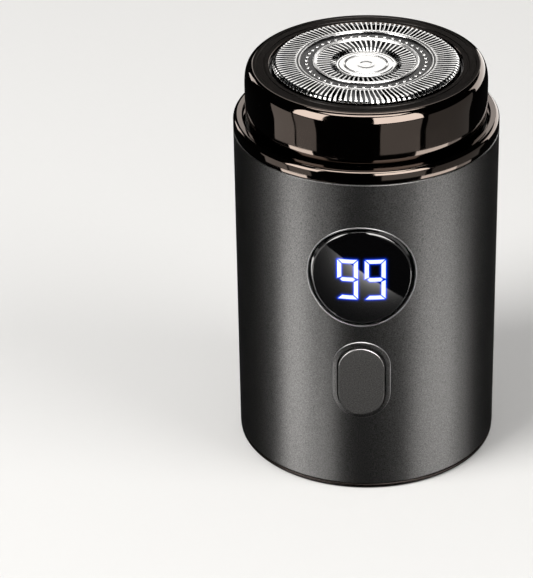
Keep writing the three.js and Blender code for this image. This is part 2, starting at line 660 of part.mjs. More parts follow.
function cutterBlades() {
  const { r, plate, outerTop, innerTop } = CUTTER;
  const [low, high] = plate;
  const disc = rod(r, plate, [0, 0], 48);
  const windows = ringOf(6, () => rod(2, [low - 1, high + 1], [9.6, 0], TINY));
  const blade = (radii, top, tilt) => turned(box(radii, [-0.25, 0.25], [high - FIT, top]), tilt);
  const outer = ringOf(18, () => blade([12.1, r - 0.1], outerTop, 0));
  const inner = ringOf(9, () => blade([5.4, 7.5], innerTop, 20));
  return union(cut(disc, ...windows), ...outer, ...inner);
}

function cutterHub() {
  const { r, z } = CUTTER_HUB;
  return cut(rod(r, z), hexBar(COUPLING.flats + 0.5, [z[0] - 1, COUPLING.tip + 0.4]));
}

add("foil_frame", foilFrame(), DARK_PLASTIC);
add("foil", foil(), STEEL);
add("cutter_blades", cutterBlades(), STEEL);
add("cutter_hub", cutterHub(), GREY_PLASTIC);

export default shaver;
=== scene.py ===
"""The looks of a pocket electric shaver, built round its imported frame.

The frame's own pieces show where they are out of sight or already right, and new pieces with their fine
detail stand for the rest. Lengths are in metres; MM turns the millimetres of the design into them.
"""
import json
from math import cos, exp, hypot, pi, radians, sin, sqrt, tan

import bmesh
import bpy
from mathutils import Matrix, Vector


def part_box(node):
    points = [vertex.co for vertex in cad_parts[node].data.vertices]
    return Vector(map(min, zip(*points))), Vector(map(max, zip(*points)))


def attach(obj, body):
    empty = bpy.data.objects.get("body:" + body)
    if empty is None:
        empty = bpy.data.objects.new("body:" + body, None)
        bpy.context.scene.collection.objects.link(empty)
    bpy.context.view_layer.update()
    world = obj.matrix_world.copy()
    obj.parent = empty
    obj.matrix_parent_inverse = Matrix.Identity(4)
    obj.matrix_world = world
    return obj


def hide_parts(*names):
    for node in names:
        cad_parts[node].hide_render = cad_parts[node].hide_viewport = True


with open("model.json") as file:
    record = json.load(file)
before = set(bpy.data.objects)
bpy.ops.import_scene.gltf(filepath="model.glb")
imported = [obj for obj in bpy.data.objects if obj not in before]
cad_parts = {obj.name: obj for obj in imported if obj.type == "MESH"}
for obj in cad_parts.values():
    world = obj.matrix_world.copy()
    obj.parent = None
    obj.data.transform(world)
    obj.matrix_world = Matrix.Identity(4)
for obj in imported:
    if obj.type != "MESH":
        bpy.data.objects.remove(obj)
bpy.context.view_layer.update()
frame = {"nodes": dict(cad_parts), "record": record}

MM = 0.001


def size_of(node):
    """Half the width, the floor and the top of a CAD node, in millimetres."""
    low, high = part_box(node)
    return (high.x - low.x) / 2 / MM, low.z / MM, high.z / MM


BARREL_R, BARREL_LOW, BARREL_HIGH = size_of("barrel")
COVER_R, COVER_LOW, COVER_HIGH = size_of("base_cover")
PAD_R, PAD_LOW, PAD_HIGH = size_of("foot_pad")
COLLAR_R, COLLAR_LOW, COLLAR_HIGH = size_of("collar_ring")
DECK_R, _, DECK_TOP = size_of("drive_deck")
CAP_R, CAP_LOW, CAP_HIGH = size_of("head_cap")
FLANGE_R, FOIL_LOW, FOIL_HIGH = size_of("foil")


# ---- Mesh tools ----

def placed(name, data):
    """A new object in the scene."""
    obj = bpy.data.objects.new(name, data)
    bpy.context.scene.collection.objects.link(obj)
    return obj


def new_piece(name, vertices, faces, sharp=28):
    """An object from points in millimetres."""
    mesh = bpy.data.meshes.new(name)
    mesh.from_pydata([Vector(v) * MM for v in vertices], [], faces)
    mesh.validate()
    mesh.update()
    obj = placed(name, mesh)
    tidy_normals(obj, sharp)
    return obj


def from_bmesh(name, bm):
    mesh = bpy.data.meshes.new(name)
    bm.to_mesh(mesh)
    bm.free()
    return placed(name, mesh)


def tidy_normals(obj, sharp=28):
    """Turns the faces outward and shades them smooth, except across edges sharper than that many degrees."""
    bm = bmesh.new()
    bm.from_mesh(obj.data)
    bmesh.ops.recalc_face_normals(bm, faces=bm.faces)
    bm.to_mesh(obj.data)
    bm.free()
    for polygon in obj.data.polygons:
        polygon.use_smooth = True
    obj.data.set_sharp_from_angle(angle=radians(sharp))


def apply_modifiers(obj):
    depsgraph = bpy.context.evaluated_depsgraph_get()
    mesh = bpy.data.meshes.new_from_object(obj.evaluated_get(depsgraph))
    obj.modifiers.clear()
    obj.data = mesh


def boolean(obj, tools):
    """Cuts the tools out of an object, and removes them."""
    for tool in tools:
        modifier = obj.modifiers.new("cut", "BOOLEAN")
        modifier.object = tool
        modifier.operation = "DIFFERENCE"
        modifier.solver = "EXACT"
        apply_modifiers(obj)
        bpy.data.objects.remove(tool, do_unlink=True)
    tidy_normals(obj)


def arc(centre_r, centre_z, radius, start, end, steps=8):
    angles = [radians(start + (end - start) * i / steps) for i in range(steps + 1)]
    return [(centre_r + radius * cos(a), centre_z + radius * sin(a)) for a in angles]


def softened(corners, steps=4):
    """An outline from (x, y) or (x, y, radius) corners, each with a radius turned into an arc."""
    outline = []
    count = len(corners)
    for i, corner in enumerate(corners):
        point = Vector(corner[:2])
        radius = corner[2] if len(corner) > 2 else 0
        if not radius:
            outline.append(tuple(point))
            continue
        back = (Vector(corners[i - 1][:2]) - point).normalized()
        ahead = (Vector(corners[(i + 1) % count][:2]) - point).normalized()
        half = back.angle(ahead) / 2
        middle = point + (back + ahead).normalized() * radius / sin(half)
        first = point + back * radius / tan(half) - middle
        last = point + ahead * radius / tan(half) - middle
        turn = first.angle_signed(last)
        for step in range(steps + 1):
            angle = -turn * step / steps
            spun = Vector((first.x * cos(angle) - first.y * sin(angle),
                           first.x * sin(angle) + first.y * cos(angle)))
            outline.append(tuple(middle + spun))
    return outline


def revolve(name, outline, steps=160, at=(0, 0), closed=True, sharp=28):
    """An (r, z) outline turned about a vertical axis. Points on the axis become poles."""
    vertices = []
    rows = []
    for r, z in outline:
        if r < 1e-6:
            rows.append([len(vertices)] * steps)
            vertices.append((at[0], at[1], z))
            continue
        rows.append(list(range(len(vertices), len(vertices) + steps)))
        for i in range(steps):
            angle = 2 * pi * i / steps
            vertices.append((at[0] + r * cos(angle), at[1] + r * sin(angle), z))
    pairs = list(zip(rows, rows[1:]))
    if closed:
        pairs.append((rows[-1], rows[0]))
    faces = []
    for first, second in pairs:
        for i in range(steps):
            j = (i + 1) % steps
            corners = dict.fromkeys((first[i], first[j], second[j], second[i]))
            if len(corners) > 2:
                faces.append(tuple(corners))
    return new_piece(name, vertices, faces, sharp=sharp)


def loft(name, loops, cap_ends=False, closed=False, sharp=28):
    """A skin over loops of equal length, with flat ends or joined into a ring."""
    count = len(loops[0])
    vertices = [point for loop in loops for point in loop]
    pairs = [(i, i + 1) for i in range(len(loops) - 1)]
    if closed:
        pairs.append((len(loops) - 1, 0))
    faces = []
    for a, b in pairs:
        for i in range(count):
            j = (i + 1) % count
            faces.append((a * count + i, a * count + j, b * count + j, b * count + i))
    if cap_ends:
        faces.append(tuple(reversed(range(count))))
        faces.append(tuple(range((len(loops) - 1) * count, len(loops) * count)))
    return new_piece(name, vertices, faces, sharp=sharp)


def cylinder(name, r, low, high, at=(0, 0), steps=64, edge=0.0):
    corners = [(0, low), (r, low, edge), (r, high, edge), (0, high)]
    return revolve(name, softened(corners), steps, at, closed=False)


def block(name, low, high, edge=0.0):
    """A box between two corners, with its edges bevelled."""
    bm = bmesh.new()
    bmesh.ops.create_cube(bm, size=1)
    middle = [(a + b) / 2 * MM for a, b in zip(low, high)]
    scale = [abs(b - a) * MM for a, b in zip(low, high)]
    matrix = Matrix.Translation(middle) @ Matrix.Diagonal((*scale, 1))
    bmesh.ops.transform(bm, verts=bm.verts, matrix=matrix)
    if edge:
        bmesh.ops.bevel(bm, geom=bm.edges[:], offset=edge * MM, segments=2, affect="EDGES", profile=0.5)
    obj = from_bmesh(name, bm)
    tidy_normals(obj)
    return obj


def joined(name, objects):
    """Several objects as one."""
    bm = bmesh.new()
    for obj in objects:
        obj.data.transform(obj.matrix_world)
        bm.from_mesh(obj.data)
    result = from_bmesh(name, bm)
    for obj in objects:
        bpy.data.objects.remove(obj, do_unlink=True)
    tidy_normals(result)
    return result


def stadium(width, height, arc_steps=20, side_steps=10):
    """Points round a shape with two round ends, centred on the origin, anticlockwise."""
    r = min(width, height) / 2
    reach = abs(height - width) / 2
    upright = height >= width
    points = []
    for end in (0, 1):
        start = pi * end + (0 if upright else -pi / 2)
        shift = reach * (1 if end == 0 else -1)
        centre = (0, shift) if upright else (shift, 0)
        for i in range(arc_steps + 1):
            angle = start + pi * i / arc_steps
            points.append((centre[0] + r * cos(angle), centre[1] + r * sin(angle)))
        along = (0, -1) if upright else (-1, 0)
        sign = 1 if end == 0 else -1
        last = points[-1]
        for i in range(1, side_steps):
            travel = 2 * reach * i / side_steps * sign
            points.append((last[0] + along[0] * travel, last[1] + along[1] * travel))
    return points


def on_barrel(x, z, height):
    """A point on the front of the barrel, that far above its surface."""
    return (x, -sqrt((BARREL_R + height) ** 2 - x * x), z)


def wrapped(u, z, height):
    """The same, for a point u along the curve of the wall instead of straight across."""
    angle = u / BARREL_R
    return ((BARREL_R + height) * sin(angle), -(BARREL_R + height) * cos(angle), z)


# ---- Materials ----

def new_material(name):
    material = bpy.data.materials.new(name)
    material.use_nodes = True
    return material


class Finish:
    """A Principled material with noise in the part's own frame for its colour, roughness and fine relief."""

    def __init__(self, name, roughness=0.4, metallic=0.0, **sockets):
        self.material = new_material(name)
        self.tree = self.material.node_tree
        self.shader = self.tree.nodes["Principled BSDF"]
        self.place = self.tree.nodes.new("ShaderNodeTexCoord").outputs["Object"]
        self.set("Roughness", roughness)
        self.set("Metallic", metallic)
        for socket, value in sockets.items():
            self.set(socket.replace("_", " "), value)

    def set(self, socket, value):
        self.shader.inputs[socket].default_value = value

    def node(self, kind, **inputs):
        node = self.tree.nodes.new(kind)
        for socket, value in inputs.items():
            if hasattr(value, "is_output"):
                self.tree.links.new(value, node.inputs[socket])
            else:
                node.inputs[socket].default_value = value
        return node

    def noise(self, size, detail=2.0, stretch=(1, 1, 1)):
        """Noise with features about size millimetres across."""
        scale = [1 / (size * MM) * s for s in stretch]
        mapping = self.node("ShaderNodeMapping", Vector=self.place, Scale=scale)
        noise = self.node("ShaderNodeTexNoise", Vector=mapping.outputs[0], Scale=1.0, Detail=detail)
        return noise.outputs["Fac"]

    def between(self, factor, low, high, start=0.3, end=0.7):
        """Maps a factor from start..end onto low..high."""
        node = self.node("ShaderNodeMapRange", Value=factor)
        for socket, value in zip(("From Min", "From Max", "To Min", "To Max"), (start, end, low, high)):
            node.inputs[socket].default_value = value
        return node.outputs[0]

    def colours(self, factor, *stops):
        """A colour ramp over (position, (r, g, b)) stops drives the base colour."""
        ramp = self.node("ShaderNodeValToRGB", Fac=factor)
        elements = ramp.color_ramp.elements
        while len(elements) < len(stops):
            elements.new(0.5)
        for element, (position, rgb) in zip(elements, stops):
            element.position = position
            element.color = (*rgb, 1)
        self.tree.links.new(ramp.outputs[0], self.shader.inputs["Base Color"])
        return self

    def roughness(self, factor, low, high):
        self.tree.links.new(self.between(factor, low, high), self.shader.inputs["Roughness"])
        return self

    def relief(self, factor, depth, strength=1.0):
        """Bumps depth millimetres high."""
        bump = self.node("ShaderNodeBump", Height=factor, Strength=strength, Distance=depth * MM)
        self.tree.links.new(bump.outputs["Normal"], self.shader.inputs["Normal"])
        return self


def shades(rgb, spread):
    return [(0.3, [c * (1 - spread) for c in rgb]), (0.7, [c * (1 + spread) for c in rgb])]


def sandblasted(name, rgb, roughness=0.4, edge=1.0):
    """A metallic coat over fine blasting: each grain catches the light a little differently."""
    finish = Finish(name, metallic=1.0, Specular_Tint=(edge, edge, edge, 1))
    grain = finish.noise(0.2, detail=3)
    finish.colours(grain, *shades(rgb, 0.42))
    finish.roughness(finish.noise(0.2), roughness - 0.015, roughness + 0.02)
    return finish.relief(finish.noise(0.11, detail=2), 0.012, 0.16).material


def plated(name, rgb, roughness=0.05):
    """Mirror plating with faint polishing streaks and smudges."""
    finish = Finish(name, metallic=1.0)
    finish.colours(finish.noise(9, detail=3), *shades(rgb, 0.06))
    finish.roughness(finish.noise(3, detail=4), roughness - 0.015, roughness + 0.02)
    return finish.relief(finish.noise(2.5), 0.0006, 0.3).material


def turned_metal(name, rgb, roughness=0.25, stretch=(1, 1, 8)):
    """Metal with fine drawn or turned lines."""
    finish = Finish(name, metallic=1.0)
    lines = finish.noise(0.6, detail=3, stretch=stretch)
    finish.colours(lines, *shades(rgb, 0.12))
    finish.roughness(lines, roughness - 0.05, roughness + 0.06)
    return finish.relief(lines, 0.003, 0.5).material


def moulded(name, rgb, roughness=0.5, grain=0.25):
    """Moulded plastic with a fine spark-eroded grain."""
    finish = Finish(name)
    finish.colours(finish.noise(4, detail=3), *shades(rgb, 0.15))
    finish.roughness(finish.noise(1.2), roughness - 0.06, roughness + 0.06)
    return finish.relief(finish.noise(grain, detail=3), 0.01, 0.5).material


GUNMETAL = (0.0945, 0.0935, 0.0935)
CHROME = (0.088, 0.072, 0.063)
MATERIALS = {
    "gunmetal": sandblasted("gunmetal_coat", GUNMETAL, 0.33),
    "button_metal": sandblasted("button_coat", (0.1, 0.098, 0.097), 0.5),
    "black_chrome": plated("black_chrome", CHROME, 0.05),
    "satin_black": sandblasted("satin_black_plating", (0.019, 0.0177, 0.017), 0.32, edge=0.45),
    # Brighter metal used as a painted highlight on the upper edge of the button.
    "painted_highlight_cut": turned_metal("painted_highlight_edge", (0.45, 0.44, 0.44), 0.3),
    "satin_brown": sandblasted("satin_brown_plating", (0.03, 0.025, 0.023), 0.34, edge=0.6),
    "bright_rim": turned_metal("bright_rim", (0.25, 0.25, 0.255), 0.36),
    "foil_steel": plated("foil_steel", (0.66, 0.66, 0.66), 0.16),
    "foil_crest": turned_metal("foil_crest_steel", (0.6, 0.6, 0.6), 0.38),
    # Near-black steel used as painted shade in the foil's groove, slots and underside.
    "painted_shade_steel": turned_metal("painted_shade_steel", (0.03, 0.03, 0.031), 0.3),
    "spring_steel": turned_metal("spring_steel", (0.5, 0.5, 0.52), 0.25),
    "screw_steel": turned_metal("screw_steel", (0.42, 0.42, 0.43), 0.3),
    "magnet_nickel": plated("magnet_nickel", (0.6, 0.58, 0.54), 0.12),
    # Dark steel also serves as painted shade on the cutter under the foil.
    "dark_steel": turned_metal("dark_steel", (0.13, 0.135, 0.14), 0.35),
    "display_case": moulded("display_case", (0.02, 0.02, 0.022), 0.45),
    "black_plastic": moulded("black_plastic", (0.018, 0.018, 0.019), 0.42),
    "grey_plastic": moulded("grey_acetal", (0.3, 0.3, 0.31), 0.38),
    "rubber": moulded("black_rubber", (0.012, 0.012, 0.012), 0.72, grain=0.4),
    "board": moulded("solder_mask", (0.012, 0.07, 0.03), 0.3, grain=1.5),
    "chip": moulded("chip_epoxy", (0.015, 0.015, 0.015), 0.55),
    "cell_wrap": moulded("cell_sleeve", (0.02, 0.09, 0.24), 0.3, grain=2.0),
    "copper": turned_metal("enamelled_copper", (0.6, 0.25, 0.12), 0.3, stretch=(1, 1, 6)),
    "brass": turned_metal("brass_strip", (0.65, 0.48, 0.2), 0.3),
    "red_lead": moulded("red_insulation", (0.35, 0.015, 0.015), 0.4, grain=0.8),
    "black_lead": moulded("black_insulation", (0.012, 0.012, 0.012), 0.4, grain=0.8),
}


def finish_piece(obj, material, body, nodes=(), slot=None):
    """Gives a new piece its material and its body, and hides the CAD nodes it stands for."""
    if isinstance(material, str):
        slot = slot or material
        material = MATERIALS[material]
    obj.data.materials.clear()
    obj.data.materials.append(material)
    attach(obj, body)
    if nodes:
        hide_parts(*nodes)


def repaint(obj, material, chosen):
    """Gives another material to the faces for which chosen(r, centre, normal) holds, in millimetres."""
    obj.data.materials.append(MATERIALS[material])
    index = len(obj.data.materials) - 1
    for polygon in obj.data.polygons:
        centre = polygon.center / MM
        if chosen(hypot(centre.x, centre.y), centre, polygon.normal):
            polygon.material_index = index


# ---- Housing ----

DISPLAY_Z = (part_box("display_lens")[0].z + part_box("display_lens")[1].z) / 2 / MM
BEZEL_R = size_of("display_bezel")[0]
BUTTON_LOW, BUTTON_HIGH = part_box("button_cap")
BUTTON_Z = (BUTTON_LOW.z + BUTTON_HIGH.z) / 2 / MM
BUTTON_FACE = -BUTTON_LOW.y / MM
BUTTON_W, BUTTON_H, BUTTON_GAP = 7.6, 12.6, 0.9
PORT_LOW, PORT_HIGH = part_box("usb_port_shell")
PORT_Z = (PORT_LOW.z + PORT_HIGH.z) / 2 / MM
PORT_W, PORT_H = (PORT_HIGH.x - PORT_LOW.x) / MM, (PORT_HIGH.z - PORT_LOW.z) / MM
PORT_OPENING = (12.2, 6.2)
WALL = 1.2
FRONT_REACH, REAR_REACH = (-30, -10), (10, 30)  # from where to where in y the tools cut the barrel


def prism_y(name, loop, z, y_from, y_to):
    return loft(name, [[(x, y, z + dz) for x, dz in loop] for y in (y_from, y_to)], cap_ends=True)


def circle_loop(r, steps=128):
    angles = [2 * pi * i / steps for i in range(steps)]
    return [(r * cos(a), r * sin(a)) for a in angles]


def make_barrel():
    """The drawn tube, with soft edges and openings for the display, the button and the socket."""
    bore = BARREL_R - WALL
    tube = revolve("barrel_tube", softened([
        (bore, BARREL_LOW), (BARREL_R, BARREL_LOW, 0.15), (BARREL_R, BARREL_HIGH, 0.15), (bore, BARREL_HIGH),
    ]), steps=240)
    display = [wrapped(u, z, 0)[::2] for u, z in circle_loop(BEZEL_R - 0.15)]
    button = stadium(BUTTON_W + BUTTON_GAP, BUTTON_H + BUTTON_GAP)
    boolean(tube, [
        prism_y("tool", display, DISPLAY_Z, *FRONT_REACH),
        prism_y("tool", button, BUTTON_Z, *FRONT_REACH),
        prism_y("tool", stadium(*PORT_OPENING), PORT_Z, *REAR_REACH),
    ])
    round_normals(tube)
    finish_piece(tube, "gunmetal", "housing", ["barrel"])


def round_normals(obj):
    """Gives the outer wall the true normals of a cylinder, so that openings leave no marks in its shine."""
    mesh = obj.data
    normals = [Vector(n.vector) for n in mesh.corner_normals]
    for polygon in mesh.polygons:
        outward = Vector((polygon.center.x, polygon.center.y, 0)).normalized()
        if abs(polygon.normal.z) > 0.1 or polygon.normal.dot(outward) < 0.99:
            continue
        for loop in polygon.loop_indices:
            point = mesh.vertices[mesh.loops[loop].vertex_index].co
            normals[loop] = Vector((point.x, point.y, 0)).normalized()
    mesh.normals_split_custom_set(normals)


def make_base():
    """The plated foot cover with its bevelled rim, and the ribbed rubber pad under it."""
    recess, pad_room, under_barrel = PAD_HIGH + 0.3, PAD_R + 0.3, BARREL_LOW - 0.12
    spigot, bore, floor = BARREL_R - 1.3, 19.4, 3
    cover = revolve("base_cover_plated", softened([
        (0, recess), (pad_room, recess), (pad_room, COVER_LOW, 0.1), (COVER_R, COVER_LOW, 0.3),
        (COVER_R, under_barrel, 0.12), (spigot, under_barrel), (spigot, COVER_HIGH), (bore, COVER_HIGH),
        (bore, floor), (0, floor),
    ]), steps=200, closed=False)
    finish_piece(cover, MATERIALS["satin_brown"], "housing", ["base_cover"], slot="black_chrome")
    grooves, first_r, pitch, depth = 6, 4, 2.2, 0.22
    outline = [(0, PAD_LOW)]
    for groove in range(grooves):
        r = first_r + pitch * groove
        outline += [(r, PAD_LOW, 0.05), (r + 0.1, PAD_LOW + depth, 0.05),
                    (r + 0.6, PAD_LOW + depth, 0.05), (r + 0.7, PAD_LOW, 0.05)]
    outline += [(PAD_R, PAD_LOW, 0.2), (PAD_R, PAD_HIGH, 0.1), (0, PAD_HIGH)]
    pad = revolve("foot_pad_ribbed", softened(outline, steps=2), steps=160, closed=False)
    finish_piece(pad, "rubber", "housing", ["foot_pad"])


def make_collar():
    """The plated ring on top of the barrel, rolled over at its rim and open inside for the head."""
    seat, bore, ledge, top = BARREL_HIGH + 0.12, 20, 20.5, COLLAR_HIGH
    ring = revolve("collar_ring_plated", softened([
        (bore, COLLAR_LOW), (ledge, COLLAR_LOW), (ledge, seat), (COLLAR_R, seat, 0.12), (COLLAR_R, top, 0.8),
        (20.42, top, 0.2), (20.4, top - 0.8, 0.1), (bore, top - 0.9),
    ], steps=10), steps=240)
    finish_piece(ring, "black_chrome", "housing", ["collar_ring"])


# ---- Display ----

DIGIT_W, DIGIT_H, STROKE, SLIT, DIGIT_GAP = 3.38, 7.3, 0.66, 0.14, 1.1
DIGITS_Z = DISPLAY_Z - 0.35
LIT = "abcdfg"


def segment_outlines():
    """The seven segments of a digit, as mitred outlines in its own box."""
    w, h, t, s = DIGIT_W, DIGIT_H, STROKE, SLIT
    mid = h / 2

    def flip_x(outline):
        return [(w - x, y) for x, y in outline]

    def flip_y(outline):
        return [(x, h - y) for x, y in outline]
    right_top = [(w - t, mid + t / 2 + s), (w, mid + s), (w, h - s), (w - t, h - t - s)]
    top = [(s, h), (t + s, h - t), (w - t - s, h - t), (w - s, h)]
    middle = [(t / 2 + s, mid), (t + s, mid - t / 2), (w - t - s, mid - t / 2), (w - t / 2 - s, mid),
              (w - t - s, mid + t / 2), (t + s, mid + t / 2)]
    return {"a": top, "b": right_top, "c": flip_y(right_top), "d": flip_y(top),
            "e": flip_x(flip_y(right_top)), "f": flip_x(right_top), "g": middle}


def lit_outlines():
    """The lit segments of both digits, in millimetres across and up the front of the barrel."""
    total = 2 * DIGIT_W + DIGIT_GAP
    outlines = segment_outlines()
    for digit in range(2):
        left = -total / 2 + digit * (DIGIT_W + DIGIT_GAP)
        for letter in LIT:
            yield [(left + x, DIGITS_Z - DIGIT_H / 2 + y) for x, y in outlines[letter]]


def distance_to(outline, x, z):
    """How far a point is outside an outline, in millimetres; 0 inside."""
    nearest = 1e9
    inside = False
    for (x1, z1), (x2, z2) in zip(outline, outline[1:] + outline[:1]):
        dx, dz = x2 - x1, z2 - z1
        t = max(0, min(1, ((x - x1) * dx + (z - z1) * dz) / (dx * dx + dz * dz)))
        nearest = min(nearest, hypot(x - x1 - t * dx, z - z1 - t * dz))
        if (z1 > z) != (z2 > z) and x < (x2 - x1) * (z - z1) / (z2 - z1) + x1:
            inside = not inside
    return 0 if inside else nearest


def make_lens():
    """The smoked window: it follows the barrel and rolls off at its edge."""
    steps, rings, roll_steps = 256, 60, 12
    crown_r, crown_drop, steepest = 8.34, 0.2, radians(42)
    flat_r, seat_r = crown_r - crown_drop - 0.02, 8.75
    centre_z = DISPLAY_Z - crown_drop
    vertices = [wrapped(0, centre_z, 0)]
    for ring in range(1, rings + 1):
        vertices += [wrapped(x, centre_z + z, 0) for x, z in circle_loop(flat_r * ring / rings, steps)]
    flat, edge = circle_loop(flat_r, steps), circle_loop(crown_r, steps)
    for ring in range(1, roll_steps + 1):
        tilt = steepest * ring / roll_steps
        out = sin(tilt) / sin(steepest)
        for (x, z), (edge_x, edge_z) in zip(flat, edge):
            z -= crown_drop
            roll = hypot(edge_x - x, edge_z - z) / sin(steepest)
            vertices.append(wrapped(x + (edge_x - x) * out, DISPLAY_Z + z + (edge_z - z) * out,
                                    roll * (cos(tilt) - 1)))
    for r, height in ((crown_r + 0.02, -0.5), (seat_r, -0.52), (seat_r, -1.3)):
        vertices += [wrapped(x, DISPLAY_Z + z, height) for x, z in circle_loop(r, steps)]
    faces = [(0, 1 + i, 1 + (i + 1) % steps) for i in range(steps)]
    for ring in range(rings + roll_steps + 2):
        a, b = 1 + ring * steps, 1 + (ring + 1) * steps
        faces += [(a + i, b + i, b + (i + 1) % steps, a + (i + 1) % steps) for i in range(steps)]
    faces.append(tuple(range(len(vertices) - steps, len(vertices))))
    lens = new_piece("display_window", vertices, faces, sharp=50)
    paint_lens(lens)
    finish_piece(lens, lens_material(), "housing", ["display_lens"], slot="display_glass")


# The slant of the painted reflection, a light streak painted across the window's colour.
PAINTED_REFLECTION_X, PAINTED_REFLECTION_Z = cos(radians(38)), sin(radians(38))


def paint_lens(lens):
    """Stores the glow round the digits and a painted reflection at each point of the window: a light diagonal
    streak, with a faint painted sheen beside it.
    """
    reach, far, glow_fade = 6, 9, 0.1
    reflection_start, reflection_edge, reflection_width, reflection_depth, sheen_depth = 0.965, 0.12, 4.5, 1.46, 4
    outlines = list(lit_outlines())
    glow = lens.data.attributes.new("glow", "FLOAT", "POINT")
    painted_reflection = lens.data.attributes.new("painted_reflection", "FLOAT", "POINT")
    for i, vertex in enumerate(lens.data.vertices):
        x, z = vertex.co.x / MM, vertex.co.z / MM
        near = abs(x) < reach and abs(z - DIGITS_Z) < reach
        distance = min(distance_to(o, x, z) for o in outlines) if near else far
        glow.data[i].value = exp(-distance / glow_fade)
        along = x * PAINTED_REFLECTION_X - (z - DISPLAY_Z) * PAINTED_REFLECTION_Z
        inside = max(0, reflection_start - x * PAINTED_REFLECTION_Z - (z - DISPLAY_Z) * PAINTED_REFLECTION_X)
        reflection_streak = 0.95 * exp(-(along / reflection_width) ** 2 - inside / reflection_depth)
        painted_sheen = 0.05 * exp(-inside / sheen_depth)
        painted_reflection.data[i].value = min(1, inside / reflection_edge) * (reflection_streak + painted_sheen)


def lens_material():
    """Smoked glass: the stored painted reflection lightens its colour, and the stored glow lights it blue."""
    dark, light, blue = (0.0015, 0.0015, 0.0018), (0.36, 0.355, 0.35), (0.004, 0.07, 1.0, 1)
    finish = Finish("smoked_window", Specular_IOR_Level=1.0)
    glow = finish.node("ShaderNodeAttribute")
    glow.attribute_name = "glow"
    painted_reflection = finish.node("ShaderNodeAttribute")
    painted_reflection.attribute_name = "painted_reflection"
    # The colour runs from the dark glass up to light grey where the painted reflection lies.
    finish.colours(painted_reflection.outputs["Fac"], (0.0, dark), (1.0, light))
    finish.set("Emission Color", blue)
    strength = finish.between(glow.outputs["Fac"], 0, 2.0, 0, 1)
    finish.tree.links.new(strength, finish.shader.inputs["Emission Strength"])
    finish.roughness(finish.noise(5, detail=3), 0.03, 0.05)
    return finish.material


def make_digits():
    """Each lit segment is a thin raised plate on the window, cut into strips that follow its curve."""
    foot, face, strips = -0.05, 0.012, 8
    plates = []
    for outline in lit_outlines():
        quads = [outline] if len(outline) == 4 else [outline[:4], [*outline[3:], outline[0]]]
        for quad in quads:
            a, b, c, d = [Vector(point) for point in quad]
            loops = []
            for i in range(strips + 1):
                start = a.lerp(d, i / strips)
                end = b.lerp(c, i / strips)
                loops.append([wrapped(*start, foot), wrapped(*end, foot), wrapped(*end, face),
                              wrapped(*start, face)])
            plates.append(loft("segment", loops, cap_ends=True))
    digits = joined("display_digits", plates)
    finish = Finish("lit_segment", Roughness=0.3)
    spots = finish.noise(0.5)
    finish.colours(spots, (0.3, (0.3, 0.33, 0.4)), (0.7, (0.36, 0.38, 0.42)))
    finish.set("Emission Color", (0.85, 0.92, 1.0, 1))
    finish.tree.links.new(finish.between(spots, 0.75, 0.9), finish.shader.inputs["Emission Strength"])
    finish_piece(digits, finish.material, "housing", slot="display_case")


def make_bezel():
    """The thin bright ring round the window, flush with the barrel on its outside."""
    inner, crest = -0.27, 0.06
    profile = softened([(inner, -0.9), (inner, 0.03, 0.02), (-0.22, crest, 0.04), (-0.08, crest, 0.04),
                        (0, 0, 0.02), (0, -0.9)])
    loops = [[wrapped(u, DISPLAY_Z + z, height) for u, z in circle_loop(BEZEL_R + offset, 240)]
             for offset, height in profile]
    finish_piece(loft("display_bezel_ring", loops, closed=True), "bright_rim", "housing", ["display_bezel"])


# ---- Button and socket ----

def make_button():
    """The stadium-shaped cap: flat blasted face, small rolled edge, and a flange behind the wall. The upper
    part of the rolled edge gets brighter metal as a painted highlight.
    """
    def loop(grow, y):
        return [(x, y, BUTTON_Z + z) for x, z in stadium(BUTTON_W + 2 * grow, BUTTON_H + 2 * grow)]

    def on_highlit_upper_edge(_, centre, normal):
        return centre.y < 0.12 - BUTTON_FACE and normal.y > -0.97 and normal.z > 0.1
    edge, edge_steps, flange, flange_back, flange_front = 0.14, 8, 0.8, -19, -19.6
    loops = [loop(flange, flange_back), loop(flange, flange_front), loop(0, flange_front),
             loop(0, -BUTTON_FACE + edge)]
    for i in range(1, edge_steps + 1):
        angle = pi / 2 * i / edge_steps
        loops.append(loop(-edge * (1 - cos(angle)), -BUTTON_FACE + edge * (1 - sin(angle))))
    for inset in (0.9, 1.8, 2.7, 3.4):
        loops.append(loop(-inset, -BUTTON_FACE))
    cap = loft("button_cap_blasted", loops, cap_ends=True)
    finish_piece(cap, "button_metal", "button", ["button_cap"])
    # Painted highlight: only the upward-facing part of the edge gets the brighter metal.
    repaint(cap, "painted_highlight_cut", on_highlit_upper_edge)


def make_button_bezel():
    """The raised ring round the button, bright on its sloping side."""
    def on_slope(r, centre, normal):
        outward = normal.dot(Vector((centre.x, centre.y, 0)).normalized())
        return 0.0 < r - BARREL_R < 0.13 and 0.2 < outward < 0.965
    profile = softened([(0.2, -1.4), (0.2, 0.2, 0.04), (0.94, 0.12, 0.03), (1.04, 0.0), (1.04, -0.02),
                        (0.4, -0.02), (0.4, -1.4)])
    loops = []
    for offset, height in profile:
        outline = stadium(BUTTON_W + 2 * offset, BUTTON_H + 2 * offset)
        loops.append([on_barrel(x, BUTTON_Z + z, height) for x, z in outline])
    ring = loft("button_bezel_ring", loops, closed=True)
    finish_piece(ring, "gunmetal", "housing", ["button_bezel"])
    repaint(ring, "bright_rim", on_slope)


